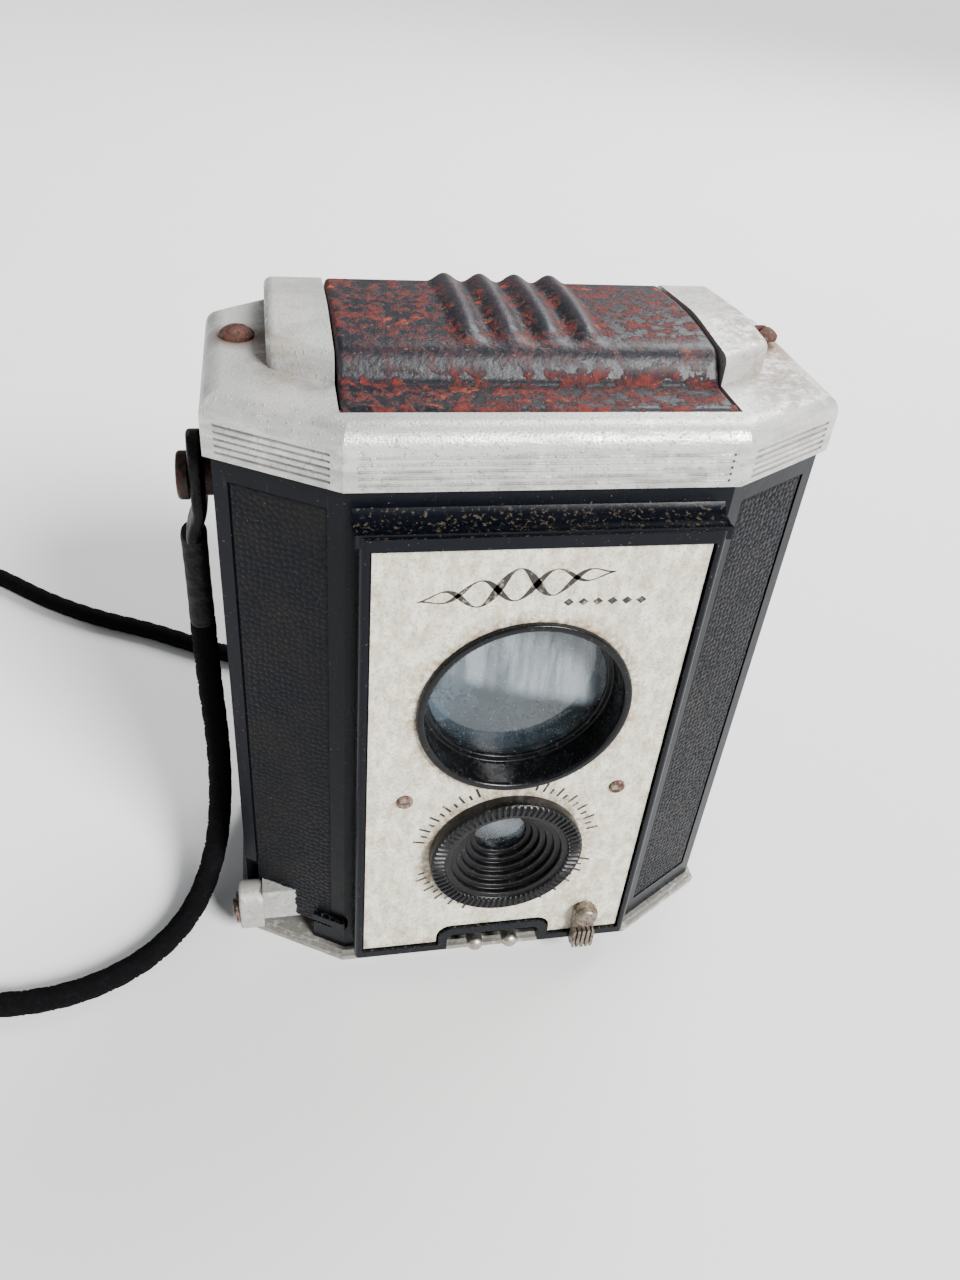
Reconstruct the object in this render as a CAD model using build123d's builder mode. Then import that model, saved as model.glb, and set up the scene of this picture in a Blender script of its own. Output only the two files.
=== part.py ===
"""Twin lens reflex camera of the simple fixed-focus kind, for 127 roll film.

X runs to the right as the subject sees the camera, the lenses look along -Y, and Z is up.
The origin is on the surface that the camera stands on, in the middle of the case's width.
All sizes are in millimetres.
"""
import os
from math import atan2, degrees, hypot, pi, radians, tan

from build123d import *

os.makedirs("parts", exist_ok=True)

# ---------------------------------------------------------------- driving dimensions
# Elongated octagon of the case, measured on the metal cap.
cap_width = 88.0
cap_front = 24.0
cap_back = 29.6
front_flat = 53.2
back_flat = 53.0
side_front = 13.8
side_back = 16.4
cap_overhang = 1.0
base_outset = 0.4
base_step = -0.2

# Heights above the standing surface.
base_thick = 2.3
body_top = 97.0
cap_top = 105.5

# Walls and general clearances.
wall = 2.2
deck_thick = 2.5
cap_skirt = 1.6
cap_roof = 2.2
slip = 0.1
seam = 0.25
running = 0.05

# Film: 127 spools stand upright in the two lobes, the picture is 40 mm square.
lens_z = 30.54
frame_size = 40.5
spool_length = 50.8
spool_flange_r = 9.0
spool_flange_thick = 0.9
spool_core_r = 3.4
spool_bore_r = 2.0
spool_x = 31.2
spool_y = 1.0
spool_play = 1.4

# Front block, face plate and their frame.
block_half = 24.8
block_front = 27.7
block_low = 5.1
block_high = 92.3
plate_half = 23.2
plate_low = 6.8
plate_high = 90.1
plate_thick = 0.8
plate_sink = 0.6
plate_gap = 0.3
notch_half = 10.3
notch_top = 11.0
notch_corner = 2.6
notch_ridge = 1.6
notch_depth = 3.1

# Finder and taking lens.
finder_z = 61.64
bezel_r = 16.4
bezel_barrel_r = 15.4
bezel_bore_r = 14.95
bezel_proud = 0.9
finder_lens_r = 14.85
finder_lens_edge = 1.6
finder_lens_bulge = 1.5
lens_ring_r = 12.84
lens_barrel_r = 10.9
lens_ring_proud = 2.5
taking_lens_r = 5.3
knurl_count = 72

# Hood.
lid_half = 26.35
lid_gap = 0.4
lid_sheet = 0.9
lid_pin_y = -17.6
lid_curl_r = 1.1
lid_pin_r = 0.5
lid_top = cap_top + 0.2
lid_crease_y = -10.8
lid_shoulder_y = -8.4
lid_shoulder_rise = 4.0
lid_apex_y = 3.5
lid_apex_rise = 5.0
lid_rear_y = 19.6
lid_rear_rise = 3.6
lid_foot_y = 21.9
lid_back_y = 23.9
rib_pitch = 5.5
rib_width = 3.4
rib_height = 1.2
rib_count = 4
shoulder_width = 8.55
blind_pin_x = 24.4
blind_curl_r = 0.7
blind_pin_r = 0.35
blind_sheet = 0.5
blind_reach = 21.8

# Shutter release, exposure lever, flash pins, plate rivets.
release_low = 2.6
release_travel = 3.0
lever_x = 16.3
lever_z = 12.6
lever_shaft_r = 1.0
flash_x = 3.18
flash_z = 5.9
flash_r = 1.45
rivet_x = 17.3
rivet_z = 43.8
rivet_r = 1.33
cap_screw_inset = 4.8
cap_screw_y = 5.3
cap_screw_r = 2.4

flange_proud = 0.5
flange_thick = 4.2
bar_low = 6.1
bar_high = 13.3
bar_front = -18.0
bar_back = -13.4
rod_y = -16.5
rod_z = 9.5
rod_r = 1.3
rod_post_x = -12.5
rod_end = -8.5
rod_collar = -26.0

# Opening back.
part_y = 12.0
hinge_r = 1.5
hinge_pin_r = 0.75
knuckle = 10.0
latch_travel = 4.5

# Neck cord and its fastening on the two sides.
lug_y = 1.3
lug_z = 86.0
lug_disc_r = 3.6
cord_d = 4.2
sleeve_top = 76.6
sleeve_low = 60.0
lug_collar = 1.8
lug_reach = 4.3
lug_disc_thick = 1.6
sleeve_proud = 4.4

# ---------------------------------------------------------------- derived places
body_face_x = cap_width / 2 - cap_overhang
body_face_front = cap_front - cap_overhang
body_face_back = cap_back - cap_overhang
floor_top = base_thick + deck_thick
spool_low = lens_z - spool_length / 2
mid_low = spool_low + spool_length + spool_play
mid_high = mid_low + 1.6
deck_low = body_top - deck_thick
spigot_top = body_top + 3.5
roof_low = cap_top - cap_roof
plate_face = block_front - plate_sink
plate_back = plate_face - plate_thick
inner_front = body_face_front - wall
inner_x = body_face_x - wall
inner_back = body_face_back - wall
hollow_front = plate_back - wall
lid_pin_z = lid_top - lid_curl_r
opening_half = lid_half + lid_gap
opening_front = lid_pin_y - lid_curl_r - 0.3
opening_back = lid_back_y + lid_gap
hinge_x = body_face_x + hinge_r + slip
cap_screw_x = cap_width / 2 - cap_screw_inset
sleeve_x = body_face_x + sleeve_proud
lug_face = body_face_x + lug_reach
flange_left = -cap_width / 2 - flange_proud
bar_left = flange_left + flange_thick
cover_low = floor_top + seam
cover_high = deck_low - seam
cord_r = cord_d / 2


def case_outline(inset):
    """Octagon of the case as a sketch on XY, drawn inset from the edge of the metal cap."""
    corners = [
        (-front_flat / 2, -cap_front),
        (front_flat / 2, -cap_front),
        (cap_width / 2, -side_front),
        (cap_width / 2, side_back),
        (back_flat / 2, cap_back),
        (-back_flat / 2, cap_back),
        (-cap_width / 2, side_back),
        (-cap_width / 2, -side_front),
    ]
    with BuildSketch() as outline:
        Polygon(*corners, align=None)
        if inset:
            offset(amount=-inset, kind=Kind.INTERSECTION, mode=Mode.REPLACE)
    return outline.sketch


def front_at(y):
    """Plane that faces the subject at the given Y, with its own X to the right and Y up."""
    return Plane.XZ.offset(-y)


def wall_plane(start, end, inset, height):
    """Plane on one upright wall of the case, facing out, centred between two cap corners."""
    dx, dy = end[0] - start[0], end[1] - start[1]
    length = hypot(dx, dy)
    nx, ny = dy / length, -dx / length
    mid_x = (start[0] + end[0]) / 2 - inset * nx
    mid_y = (start[1] + end[1]) / 2 - inset * ny
    plane = Plane(origin=(mid_x, mid_y, height), x_dir=(dx, dy, 0), z_dir=(nx, ny, 0))
    return plane, length


front_slants = [
    ((-cap_width / 2, -side_front), (-front_flat / 2, -cap_front)),
    ((front_flat / 2, -cap_front), (cap_width / 2, -side_front)),
]
back_slants = [
    ((cap_width / 2, side_back), (back_flat / 2, cap_back)),
    ((-back_flat / 2, cap_back), (-cap_width / 2, side_back)),
]
front_wall = ((-front_flat / 2, -cap_front), (front_flat / 2, -cap_front))
back_wall = ((back_flat / 2, cap_back), (-back_flat / 2, cap_back))

cap_outline = case_outline(0)
body_outline = case_outline(cap_overhang)
cavity_outline = case_outline(cap_overhang + wall)
inner_deck_outline = case_outline(cap_overhang + wall + 0.4)
cap_inside_outline = case_outline(cap_skirt)
spigot_outline = case_outline(cap_skirt + slip)
spigot_inside_outline = case_outline(cap_skirt + slip + 1.7)

# ---------------------------------------------------------------- body moulding
panel_border = 2.8
panel_depth = 0.3
panel_low = 6.5
panel_high = 93.5
recess_width = 12.4
recess_top = 17.5
recess_back = -12.2
recess_wall = 1.5
recess_right = recess_width - cap_width / 2
mirror_half = 21.8
finder_well_half = mirror_half + 0.4
finder_well_back = 21.0
finder_well_front = -18.4

with BuildPart() as front_body:
    with BuildSketch(Plane.XY.offset(base_thick)):
        add(body_outline)
    extrude(amount=body_top - base_thick)
    with BuildSketch(Plane.XY.offset(body_top)):
        add(spigot_outline)
        add(spigot_inside_outline, mode=Mode.SUBTRACT)
    extrude(amount=spigot_top - body_top)
    # Screw posts under the cap.
    with BuildSketch(Plane.XY.offset(body_top)):
        with Locations((-cap_screw_x, cap_screw_y), (cap_screw_x, cap_screw_y)):
            Circle(2.6)
    extrude(amount=roof_low - body_top)
    # Block that frames the face plate, and the hollow ledge above it.
    with BuildSketch(Plane.XY.offset(block_low)):
        with Locations((0, -(block_front + inner_front) / 2)):
            Rectangle(2 * block_half, block_front - inner_front)
        fillet(vertices().group_by(Axis.Y)[0], 0.9)
    extrude(amount=block_high - block_low)
    with BuildSketch(Plane.YZ):
        with BuildLine():
            Line((-body_face_front, 94.2), (-body_face_front, block_high - 1.5))
            Line((-body_face_front, block_high - 1.5), (-block_front + 0.4, block_high - 1.5))
            Line((-block_front + 0.4, block_high - 1.5), (-block_front + 0.4, block_high + 0.5))
            ThreePointArc(
                (-block_front + 0.4, block_high + 0.5),
                (-body_face_front - 1.7, block_high + 0.6),
                (-body_face_front, 94.2),
            )
        make_face()
    extrude(amount=block_half + 0.6, both=True)
    # Film room, finder room, and the hollow inside the front block.
    for low, high in ((floor_top, mid_low), (mid_high, deck_low)):
        with BuildSketch(Plane.XY.offset(low)):
            add(cavity_outline)
        extrude(amount=high - low, mode=Mode.SUBTRACT)
    with BuildSketch(front_at(-hollow_front)):
        with Locations((0, 53.0)):
            Rectangle(2 * (block_half - wall - 0.2), 74.0)
    extrude(amount=-(hollow_front - inner_front), mode=Mode.SUBTRACT)
    # The rear of the case is the opening back; the two decks and the middle shelf stay.
    with BuildSketch(Plane.XY.offset(floor_top)) as rear_walls:
        add(body_outline)
        add(inner_deck_outline, mode=Mode.SUBTRACT)
        with Locations((0, part_y + 50)):
            Rectangle(200, 100, mode=Mode.INTERSECT)
    extrude(amount=deck_low - floor_top, mode=Mode.SUBTRACT)
    # Way for the mirror box through the shelf and the top deck.
    with BuildSketch(Plane.XY.offset(mid_low)):
        with Locations((0, (-inner_front + 3.0) / 2)):
            Rectangle(2 * finder_well_half, inner_front + 3.0)
    extrude(amount=mid_high - mid_low, mode=Mode.SUBTRACT)
    with BuildSketch(Plane.XY.offset(deck_low)):
        with Locations((0, (finder_well_front + finder_well_back) / 2)):
            Rectangle(2 * finder_well_half, finder_well_back - finder_well_front)
    extrude(amount=body_top - deck_low, mode=Mode.SUBTRACT)
    # Pocket for the face plate, with a ridge round its notch, and the flash recess.
    with BuildSketch(front_at(-block_front)):
        with Locations((0, (plate_low + plate_high) / 2)):
            Rectangle(2 * (plate_half + plate_gap), plate_high - plate_low + 2 * plate_gap)
        with Locations((0, notch_top - plate_gap - 10)):
            RectangleRounded(2 * (notch_half - plate_gap), 20, notch_corner, mode=Mode.SUBTRACT)
    extrude(amount=-(block_front - plate_back), mode=Mode.SUBTRACT)
    with BuildSketch(front_at(-block_front)):
        with Locations((0, notch_top - plate_gap - notch_ridge - 10)):
            RectangleRounded(2 * (notch_half - plate_gap - notch_ridge), 20, 1.4)
        with Locations((0, block_low + 10)):
            Rectangle(60, 20, mode=Mode.INTERSECT)
    extrude(amount=-notch_depth, mode=Mode.SUBTRACT)
    # Bores for the two lens mounts, the lever shaft, the rivets and the flash pins.
    with BuildSketch(front_at(-block_front)):
        with Locations((0, finder_z)):
            Circle(bezel_barrel_r + slip)
        with Locations((0, lens_z)):
            Circle(lens_barrel_r + slip)
        with Locations((lever_x, lever_z)):
            Circle(lever_shaft_r + running)
        with Locations((-rivet_x, rivet_z), (rivet_x, rivet_z)):
            Circle(1.0)
        with Locations((-flash_x, flash_z), (flash_x, flash_z)):
            Circle(1.0)
    extrude(amount=-(block_front - inner_front + 0.01), mode=Mode.SUBTRACT)
    # Sealed niche for the release in the lower left corner: first its walls, then its space.
    with BuildSketch(Plane.XY.offset(floor_top)):
        add(body_outline)
        with Locations((-cap_width / 2, -cap_front)):
            Rectangle(
                2 * (cap_width / 2 + recess_right + recess_wall),
                2 * (cap_front + recess_back + recess_wall),
                mode=Mode.INTERSECT,
            )
    extrude(amount=recess_top + recess_wall - floor_top)
    with BuildSketch(front_at(-cap_front)):
        with Locations(((-cap_width / 2 + recess_right) / 2, (base_thick + recess_top) / 2)):
            Rectangle(cap_width / 2 + recess_right, recess_top - base_thick)
        fillet(vertices().sort_by(Axis.X)[-2:].sort_by(Axis.Y)[-1], 4.0)
    extrude(amount=-(cap_front + recess_back), mode=Mode.SUBTRACT)
    with BuildSketch(Plane.YZ.offset(recess_right)):
        with Locations(((bar_front + bar_back) / 2, (bar_low + bar_high) / 2)):
            Rectangle(bar_back - bar_front + 0.4, bar_high - bar_low + 0.4)
    extrude(amount=recess_wall, mode=Mode.SUBTRACT)
    # Post that steadies the release rod and backs its spring.
    with BuildSketch(Plane.XY.offset(floor_top)):
        with Locations((rod_post_x, rod_y)):
            Rectangle(1.5, 6.0)
    extrude(amount=rod_z + 3.2 - floor_top)
    with BuildSketch(Plane.YZ.offset(rod_post_x)):
        with Locations((rod_y, rod_z)):
            Circle(rod_r + running)
    extrude(amount=2, both=True, mode=Mode.SUBTRACT)
    # Small ledge beside the niche.
    ledge_plane, ledge_length = wall_plane(*front_slants[0], cap_overhang, 9.2)
    with BuildSketch(ledge_plane.offset(-1.0)):
        with Locations((ledge_length / 2 - 2.8, 0)):
            Rectangle(6.2, 1.5)
    extrude(amount=2.0)
    # Grained panels are sunk a little into the slanted walls.
    for start, end in front_slants:
        plane, length = wall_plane(start, end, cap_overhang, (panel_low + panel_high) / 2)
        with BuildSketch(plane):
            Rectangle(length - 2 * panel_border, panel_high - panel_low)
        extrude(amount=-panel_depth, mode=Mode.SUBTRACT)
    # Bores in the decks: spool key, latch slot, base screws, cap screws and strap lugs.
    with BuildSketch(Plane.XY.offset(base_thick)):
        with Locations((spool_x, spool_y)):
            Circle(1.6 + running)
        with Locations((-3.65, 20.5)):
            Rectangle(7.3, 2.8)
        with GridLocations(32, 26, 2, 2):
            Circle(1.1)
    extrude(amount=deck_thick, mode=Mode.SUBTRACT)
    with BuildSketch(Plane.XY.offset(body_top - deck_thick)):
        with Locations((-cap_screw_x, cap_screw_y), (cap_screw_x, cap_screw_y)):
            Circle(1.3)
    extrude(amount=roof_low - body_top + deck_thick, mode=Mode.SUBTRACT)
    with BuildSketch(Plane.YZ):
        with Locations((lug_y, lug_z)):
            Circle(1.3 + running)
    extrude(amount=cap_width, both=True, mode=Mode.SUBTRACT)
    # Body halves of the two hinges of the back.
    for low in (15.8, 76.2):
        with BuildSketch(Plane.XY.offset(low)):
            with Locations((hinge_x, part_y)):
                Circle(hinge_r)
            with Locations((hinge_x - 1.05, part_y - hinge_r / 2)):
                Rectangle(2.1, hinge_r)
            with Locations((hinge_x, part_y)):
                Circle(hinge_pin_r, mode=Mode.SUBTRACT)
        extrude(amount=knuckle)
front_body.part.label = "front_body"
export_step(front_body.part, "parts/front_body.step")

# ---------------------------------------------------------------- base plate and its latch
knob_r = 9.2
latch_x = -6.0
latch_y = 20.5
latch_half = 6.0

with BuildPart() as base_plate:
    with BuildSketch():
        add(case_outline(-base_outset))
    extrude(amount=base_thick - 1.0)
    with BuildSketch(Plane.XY.offset(base_thick - 1.0)):
        add(case_outline(-base_step))
    extrude(amount=1.0)
    with BuildSketch():
        with Locations((spool_x, spool_y)):
            Circle(knob_r + 0.4)
        with Locations((latch_x + latch_travel / 2, latch_y)):
            Rectangle(2 * latch_half + latch_travel + 0.6, 8.6)
    extrude(amount=base_thick, mode=Mode.SUBTRACT)
    with Locations(Plane(origin=(0, 0, 0), x_dir=(1, 0, 0), z_dir=(0, 0, -1))):
        with GridLocations(32, 26, 2, 2):
            CounterSinkHole(radius=1.1, counter_sink_radius=2.2, depth=base_thick)
    chamfer(faces().sort_by(Axis.Z)[0].outer_wire().edges(), 0.3)
base_plate.part.label = "base_plate"
export_step(base_plate.part, "parts/base_plate.step")

with BuildPart() as base_screws:
    with Locations(Plane(origin=(0, 0, 0.15), x_dir=(1, 0, 0), z_dir=(0, 0, -1))):
        with GridLocations(32, 26, 2, 2):
            Cone(2.05, 1.05, 1.0, rotation=(180, 0, 0), align=(Align.CENTER, Align.CENTER, Align.MIN))
            Cylinder(1.05, 4.2, rotation=(180, 0, 0), align=(Align.CENTER, Align.CENTER, Align.MIN))
            Box(5, 0.6, 0.6, mode=Mode.SUBTRACT)
base_screws.part.label = "base_screws"
export_step(base_screws.part, "parts/base_screws.step")

with BuildPart() as back_latch:
    with BuildSketch(Plane.XY.offset(0.4)):
        with Locations((latch_x, latch_y)):
            Rectangle(2 * latch_half, 8.0)
    extrude(amount=base_thick - 0.4)
    with BuildSketch(Plane.XY.offset(0.4)):
        with Locations((latch_x, latch_y)):
            with GridLocations(1.8, 1, 5, 1):
                Rectangle(0.7, 6.4)
    extrude(amount=0.7, mode=Mode.SUBTRACT)
    with BuildSketch(Plane.XY.offset(base_thick)):
        with Locations((latch_x, latch_y)):
            Rectangle(2.0, 2.0)
    extrude(amount=4.2)
back_latch.part.label = "back_latch"
export_step(back_latch.part, "parts/back_latch.step")

# ---------------------------------------------------------------- opening back
catch_top = cover_low + 1.7
window_r = 5.0

with BuildPart() as back_cover:
    with BuildSketch(Plane.XY.offset(cover_low)):
        add(body_outline)
        add(cavity_outline, mode=Mode.SUBTRACT)
        with Locations((0, part_y + seam + 50)):
            Rectangle(200, 100, mode=Mode.INTERSECT)
    extrude(amount=cover_high - cover_low)
    # Catch with a notch that the latch enters from the left.
    with BuildSketch(Plane.XY.offset(cover_low)):
        with Locations((0.5, (17.5 + inner_back) / 2)):
            Rectangle(7.0, inner_back - 17.5 + 0.1)
        with Locations((-1.0, latch_y)):
            Rectangle(6.0, 2.6, mode=Mode.SUBTRACT)
    extrude(amount=catch_top - cover_low)
    # Film window, with a seat for its pane on the inside.
    with BuildSketch(front_at(body_face_back)):
        with Locations((0, lens_z)):
            Circle(window_r)
    extrude(amount=wall, mode=Mode.SUBTRACT)
    with BuildSketch(front_at(inner_back + 1.2)):
        with Locations((0, lens_z)):
            Circle(window_r + 0.8)
    extrude(amount=1.2, mode=Mode.SUBTRACT)
    for start, end in back_slants + [back_wall]:
        plane, length = wall_plane(start, end, cap_overhang, (cover_low + cover_high) / 2)
        with BuildSketch(plane):
            Rectangle(length - 2 * panel_border, cover_high - cover_low - 2 * panel_border)
            if start[1] == end[1]:
                with Locations((0, lens_z - (cover_low + cover_high) / 2)):
                    Circle(window_r + 2.5, mode=Mode.SUBTRACT)
        extrude(amount=-panel_depth, mode=Mode.SUBTRACT)
    for low in (15.8 + knuckle + 0.2, 76.2 - knuckle - 0.2):
        with BuildSketch(Plane.XY.offset(low)):
            with Locations((hinge_x, part_y)):
                Circle(hinge_r)
            with Locations((hinge_x - 1.05, part_y + (seam + hinge_r) / 2)):
                Rectangle(2.1, hinge_r - seam)
            with Locations((hinge_x, part_y)):
                Circle(hinge_pin_r + running, mode=Mode.SUBTRACT)
        extrude(amount=knuckle)
back_cover.part.label = "back_cover"
export_step(back_cover.part, "parts/back_cover.step")

with BuildPart() as film_window:
    with BuildSketch(front_at(inner_back + 1.2)):
        with Locations((0, lens_z)):
            Circle(window_r + 0.75)
    extrude(amount=1.1)
film_window.part.label = "film_window"
export_step(film_window.part, "parts/film_window.step")

with BuildPart() as back_hinge_pins:
    for low in (15.8, 76.2 - knuckle - 0.2):
        with BuildSketch(Plane.XY.offset(low)):
            with Locations((hinge_x, part_y)):
                Circle(hinge_pin_r)
        extrude(amount=2 * knuckle + 0.2)
back_hinge_pins.part.label = "back_hinge_pins"
export_step(back_hinge_pins.part, "parts/back_hinge_pins.step")

# ---------------------------------------------------------------- metal cap
band_rib_count = 5
band_rib_pitch = 0.95
band_rib_low = 98.0


def hood_profile(front_y, front_rise, foot):
    """Closed side profile of the raised hood, from its front edge to its rear foot."""
    rear = [
        (lid_apex_y, lid_top + lid_apex_rise),
        (lid_rear_y, lid_top + lid_rear_rise),
        (lid_foot_y, lid_top),
    ]
    with BuildSketch(Plane.YZ) as profile:
        with BuildLine():
            top = FilletPolyline((front_y, lid_top + front_rise), *rear, radius=[40, 2.5])
            Polyline(top @ 1, (lid_foot_y, foot), (front_y, foot), top @ 0)
        make_face()
    return profile.sketch


with BuildPart() as shoulder:
    with BuildSketch(Plane.XY.offset(roof_low)):
        Polygon(
            (opening_half, lid_crease_y),
            (opening_half + shoulder_width, lid_crease_y + shoulder_width * tan(radians(30.5))),
            (opening_half + shoulder_width, lid_foot_y),
            (opening_half, lid_foot_y),
            align=None,
        )
        fillet(vertices().group_by(Axis.X)[-1], 2.6)
    extrude(amount=12)
    hood_side = extrude(hood_profile(-16, 3.5, roof_low), amount=40, mode=Mode.PRIVATE)
    add(hood_side, mode=Mode.INTERSECT)
    rim = edges().filter_by(lambda e: e.center().Z > cap_top + 1 and e.center().X > opening_half + 0.1)
    rim = rim.filter_by(lambda e: abs(e.tangent_at(0.5).Z) < 0.9)
    fillet(rim, 1.3)

with BuildPart() as top_cap:
    with BuildSketch(Plane.XY.offset(body_top)):
        add(cap_outline)
    extrude(amount=cap_top - body_top)
    fillet(faces().sort_by(Axis.Z)[-1].edges(), 3.0)
    with BuildSketch(Plane.XY.offset(body_top)):
        add(cap_inside_outline)
    extrude(amount=roof_low - body_top, mode=Mode.SUBTRACT)
    add(shoulder.part)
    mirror(shoulder.part, about=Plane.YZ)
    with BuildSketch(Plane.XY.offset(roof_low)):
        with Locations((0, (opening_front + opening_back) / 2)):
            Rectangle(2 * opening_half, opening_back - opening_front)
    extrude(amount=12, mode=Mode.SUBTRACT)
    # Blind bores for the hood's hinge pin, and the two screw holes.
    with BuildSketch(Plane.YZ):
        with Locations((lid_pin_y, lid_pin_z)):
            Circle(lid_pin_r + 0.02)
    extrude(amount=opening_half + 1.4, both=True, mode=Mode.SUBTRACT)
    with BuildSketch(Plane.XY.offset(roof_low)):
        with Locations((-cap_screw_x, cap_screw_y), (cap_screw_x, cap_screw_y)):
            Circle(1.35)
    extrude(amount=12, mode=Mode.SUBTRACT)
    # Fine ribs round the band: each face gets a row of shallow grooves.
    for start, end in [front_wall] + front_slants + back_slants + [back_wall]:
        plane, length = wall_plane(start, end, 0, band_rib_low)
        with BuildSketch(plane):
            for index in range(band_rib_count):
                with Locations((0, index * band_rib_pitch)):
                    Rectangle(length - 3.6, 0.42)
        extrude(amount=-0.35, mode=Mode.SUBTRACT)
top_cap.part.label = "top_cap"
export_step(top_cap.part, "parts/top_cap.step")

with BuildPart() as cap_screws:
    for x, proud in ((-cap_screw_x, 0.0), (cap_screw_x, 0.9)):
        with BuildSketch(Plane.XZ.offset(-cap_screw_y)):
            with BuildLine():
                Polyline(
                    (x, cap_top + proud + 1.6),
                    (x, roof_low - 3.0),
                    (x + 1.25, roof_low - 3.0),
                    (x + 1.25, cap_top + proud),
                    (x + cap_screw_r, cap_top + proud),
                    (x + cap_screw_r, cap_top + proud + 0.5),
                )
                ThreePointArc(
                    (x + cap_screw_r, cap_top + proud + 0.5),
                    (x + 0.62 * cap_screw_r, cap_top + proud + 1.25),
                    (x, cap_top + proud + 1.6),
                )
            make_face()
        revolve(axis=Axis((x, cap_screw_y, 0), (0, 0, 1)))
        with BuildSketch(Plane.XY.offset(cap_top + proud + 0.8)):
            with Locations((x, cap_screw_y)):
                Rectangle(6, 0.7, rotation=35)
        extrude(amount=2, mode=Mode.SUBTRACT)
cap_screws.part.label = "cap_screws"
export_step(cap_screws.part, "parts/cap_screws.step")

# ---------------------------------------------------------------- hood lid with its ribs
with BuildPart() as rib:
    with BuildSketch(Plane.YZ):
        with BuildLine():
            rib_line = FilletPolyline(
                (-7.6, lid_top + 3.3),
                (-3.6, lid_top + lid_apex_rise + rib_height - 0.7),
                (lid_apex_y, lid_top + lid_apex_rise + rib_height),
                (lid_rear_y - 0.5, lid_top + lid_rear_rise + rib_height),
                (lid_foot_y - 0.6, lid_top + 0.8),
                radius=[6, 40, 3],
            )
            Polyline(rib_line @ 1, (lid_foot_y - 0.6, 100), (-7.6, 100), rib_line @ 0)
        make_face()
    extrude(amount=rib_width / 2, both=True)
    ridge = edges().filter_by(lambda e: abs(abs(e.center().X) - rib_width / 2) < 0.01)
    ridge = ridge.filter_by(lambda e: e.center().Z > lid_top + 1.5 and abs(e.tangent_at(0.5).Z) < 0.99)
    fillet(ridge, 1.2)

with BuildPart() as hood_lid:
    with BuildSketch(Plane.YZ) as lid_outside:
        with BuildLine():
            lid_line = FilletPolyline(
                (lid_pin_y, lid_top),
                (lid_crease_y, lid_top),
                (lid_shoulder_y, lid_top + lid_shoulder_rise),
                (lid_apex_y, lid_top + lid_apex_rise),
                (lid_rear_y, lid_top + lid_rear_rise),
                (lid_foot_y, lid_top),
                (lid_back_y, lid_top),
                radius=[1.0, 3.0, 40, 2.5, 1.0],
            )
            Polyline(lid_line @ 1, (lid_back_y, 95), (lid_pin_y, 95), lid_line @ 0)
        make_face()
    extrude(amount=lid_half, both=True)
    fillet(edges().filter_by(lambda e: abs(abs(e.center().X) - lid_half) < 0.01
                             and e.center().Z > lid_top + 3.6 and e.center().Y > -5), 0.8)
    for index in range(rib_count):
        add(Pos((index - (rib_count - 1) / 2) * rib_pitch, 0, 0) * rib.part)
    with BuildSketch(Plane.YZ):
        add(lid_outside.sketch_local)
        offset(amount=-lid_sheet, mode=Mode.REPLACE)
    extrude(amount=lid_half - lid_sheet, both=True, mode=Mode.SUBTRACT)
    with Locations((0, 0, lid_top - 1.7)):
        Box(100, 100, 40, align=(Align.CENTER, Align.CENTER, Align.MAX), mode=Mode.SUBTRACT)
    with BuildSketch(Plane.YZ):
        with Locations((lid_pin_y, lid_pin_z)):
            Circle(lid_curl_r)
    extrude(amount=lid_half, both=True)
    with BuildSketch(Plane.YZ):
        with Locations((lid_pin_y, lid_pin_z)):
            Circle(lid_pin_r + running)
    extrude(amount=lid_half, both=True, mode=Mode.SUBTRACT)
hood_lid.part.label = "hood_lid"
export_step(hood_lid.part, "parts/hood_lid.step")

with BuildPart() as hood_hinge_pin:
    with BuildSketch(Plane.YZ):
        with Locations((lid_pin_y, lid_pin_z)):
            Circle(lid_pin_r)
    extrude(amount=opening_half + 1.3, both=True)
hood_hinge_pin.part.label = "hood_hinge_pin"
export_step(hood_hinge_pin.part, "parts/hood_hinge_pin.step")

# ---------------------------------------------------------------- finder under the hood
mirror_glass = 1.4
box_sheet = 0.8
rim_top = body_top + box_sheet
frame_top = 103.0
frame_half = 25.4
frame_front = -15.9
frame_back = 22.4
glass_half = 22.5
glass_front = -13.8
glass_back = 19.6
blind_pin_z = frame_top + 0.1 + blind_curl_r
blind_front = frame_front + 1.1
blind_back = frame_back - 1.1
slope_drop = mirror_glass * 2 ** 0.5
sheet_drop = box_sheet * 2 ** 0.5

with BuildPart() as mirror_box:
    with BuildSketch(Plane.YZ):
        Polygon(
            (-17.8, finder_z - 17.8 - slope_drop - sheet_drop),
            (20.4, finder_z + 20.4 - slope_drop - sheet_drop),
            (20.4, rim_top),
            (-17.8, rim_top),
            align=None,
        )
    extrude(amount=mirror_half, both=True)
    with BuildSketch(Plane.YZ):
        Polygon(
            (-17.9, finder_z - 17.9 - slope_drop),
            (20.4 - box_sheet, finder_z + 20.4 - box_sheet - slope_drop),
            (20.4 - box_sheet, rim_top + 1),
            (-17.9, rim_top + 1),
            align=None,
        )
    extrude(amount=mirror_half - box_sheet, both=True, mode=Mode.SUBTRACT)
    with BuildSketch(Plane.XY.offset(body_top)):
        with Locations((0, 1.3)):
            Rectangle(2 * frame_half, 41.2)
            Rectangle(2 * (mirror_half - box_sheet), 36.6, mode=Mode.SUBTRACT)
    extrude(amount=box_sheet)
mirror_box.part.label = "mirror_box"
export_step(mirror_box.part, "parts/mirror_box.step")

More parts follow.
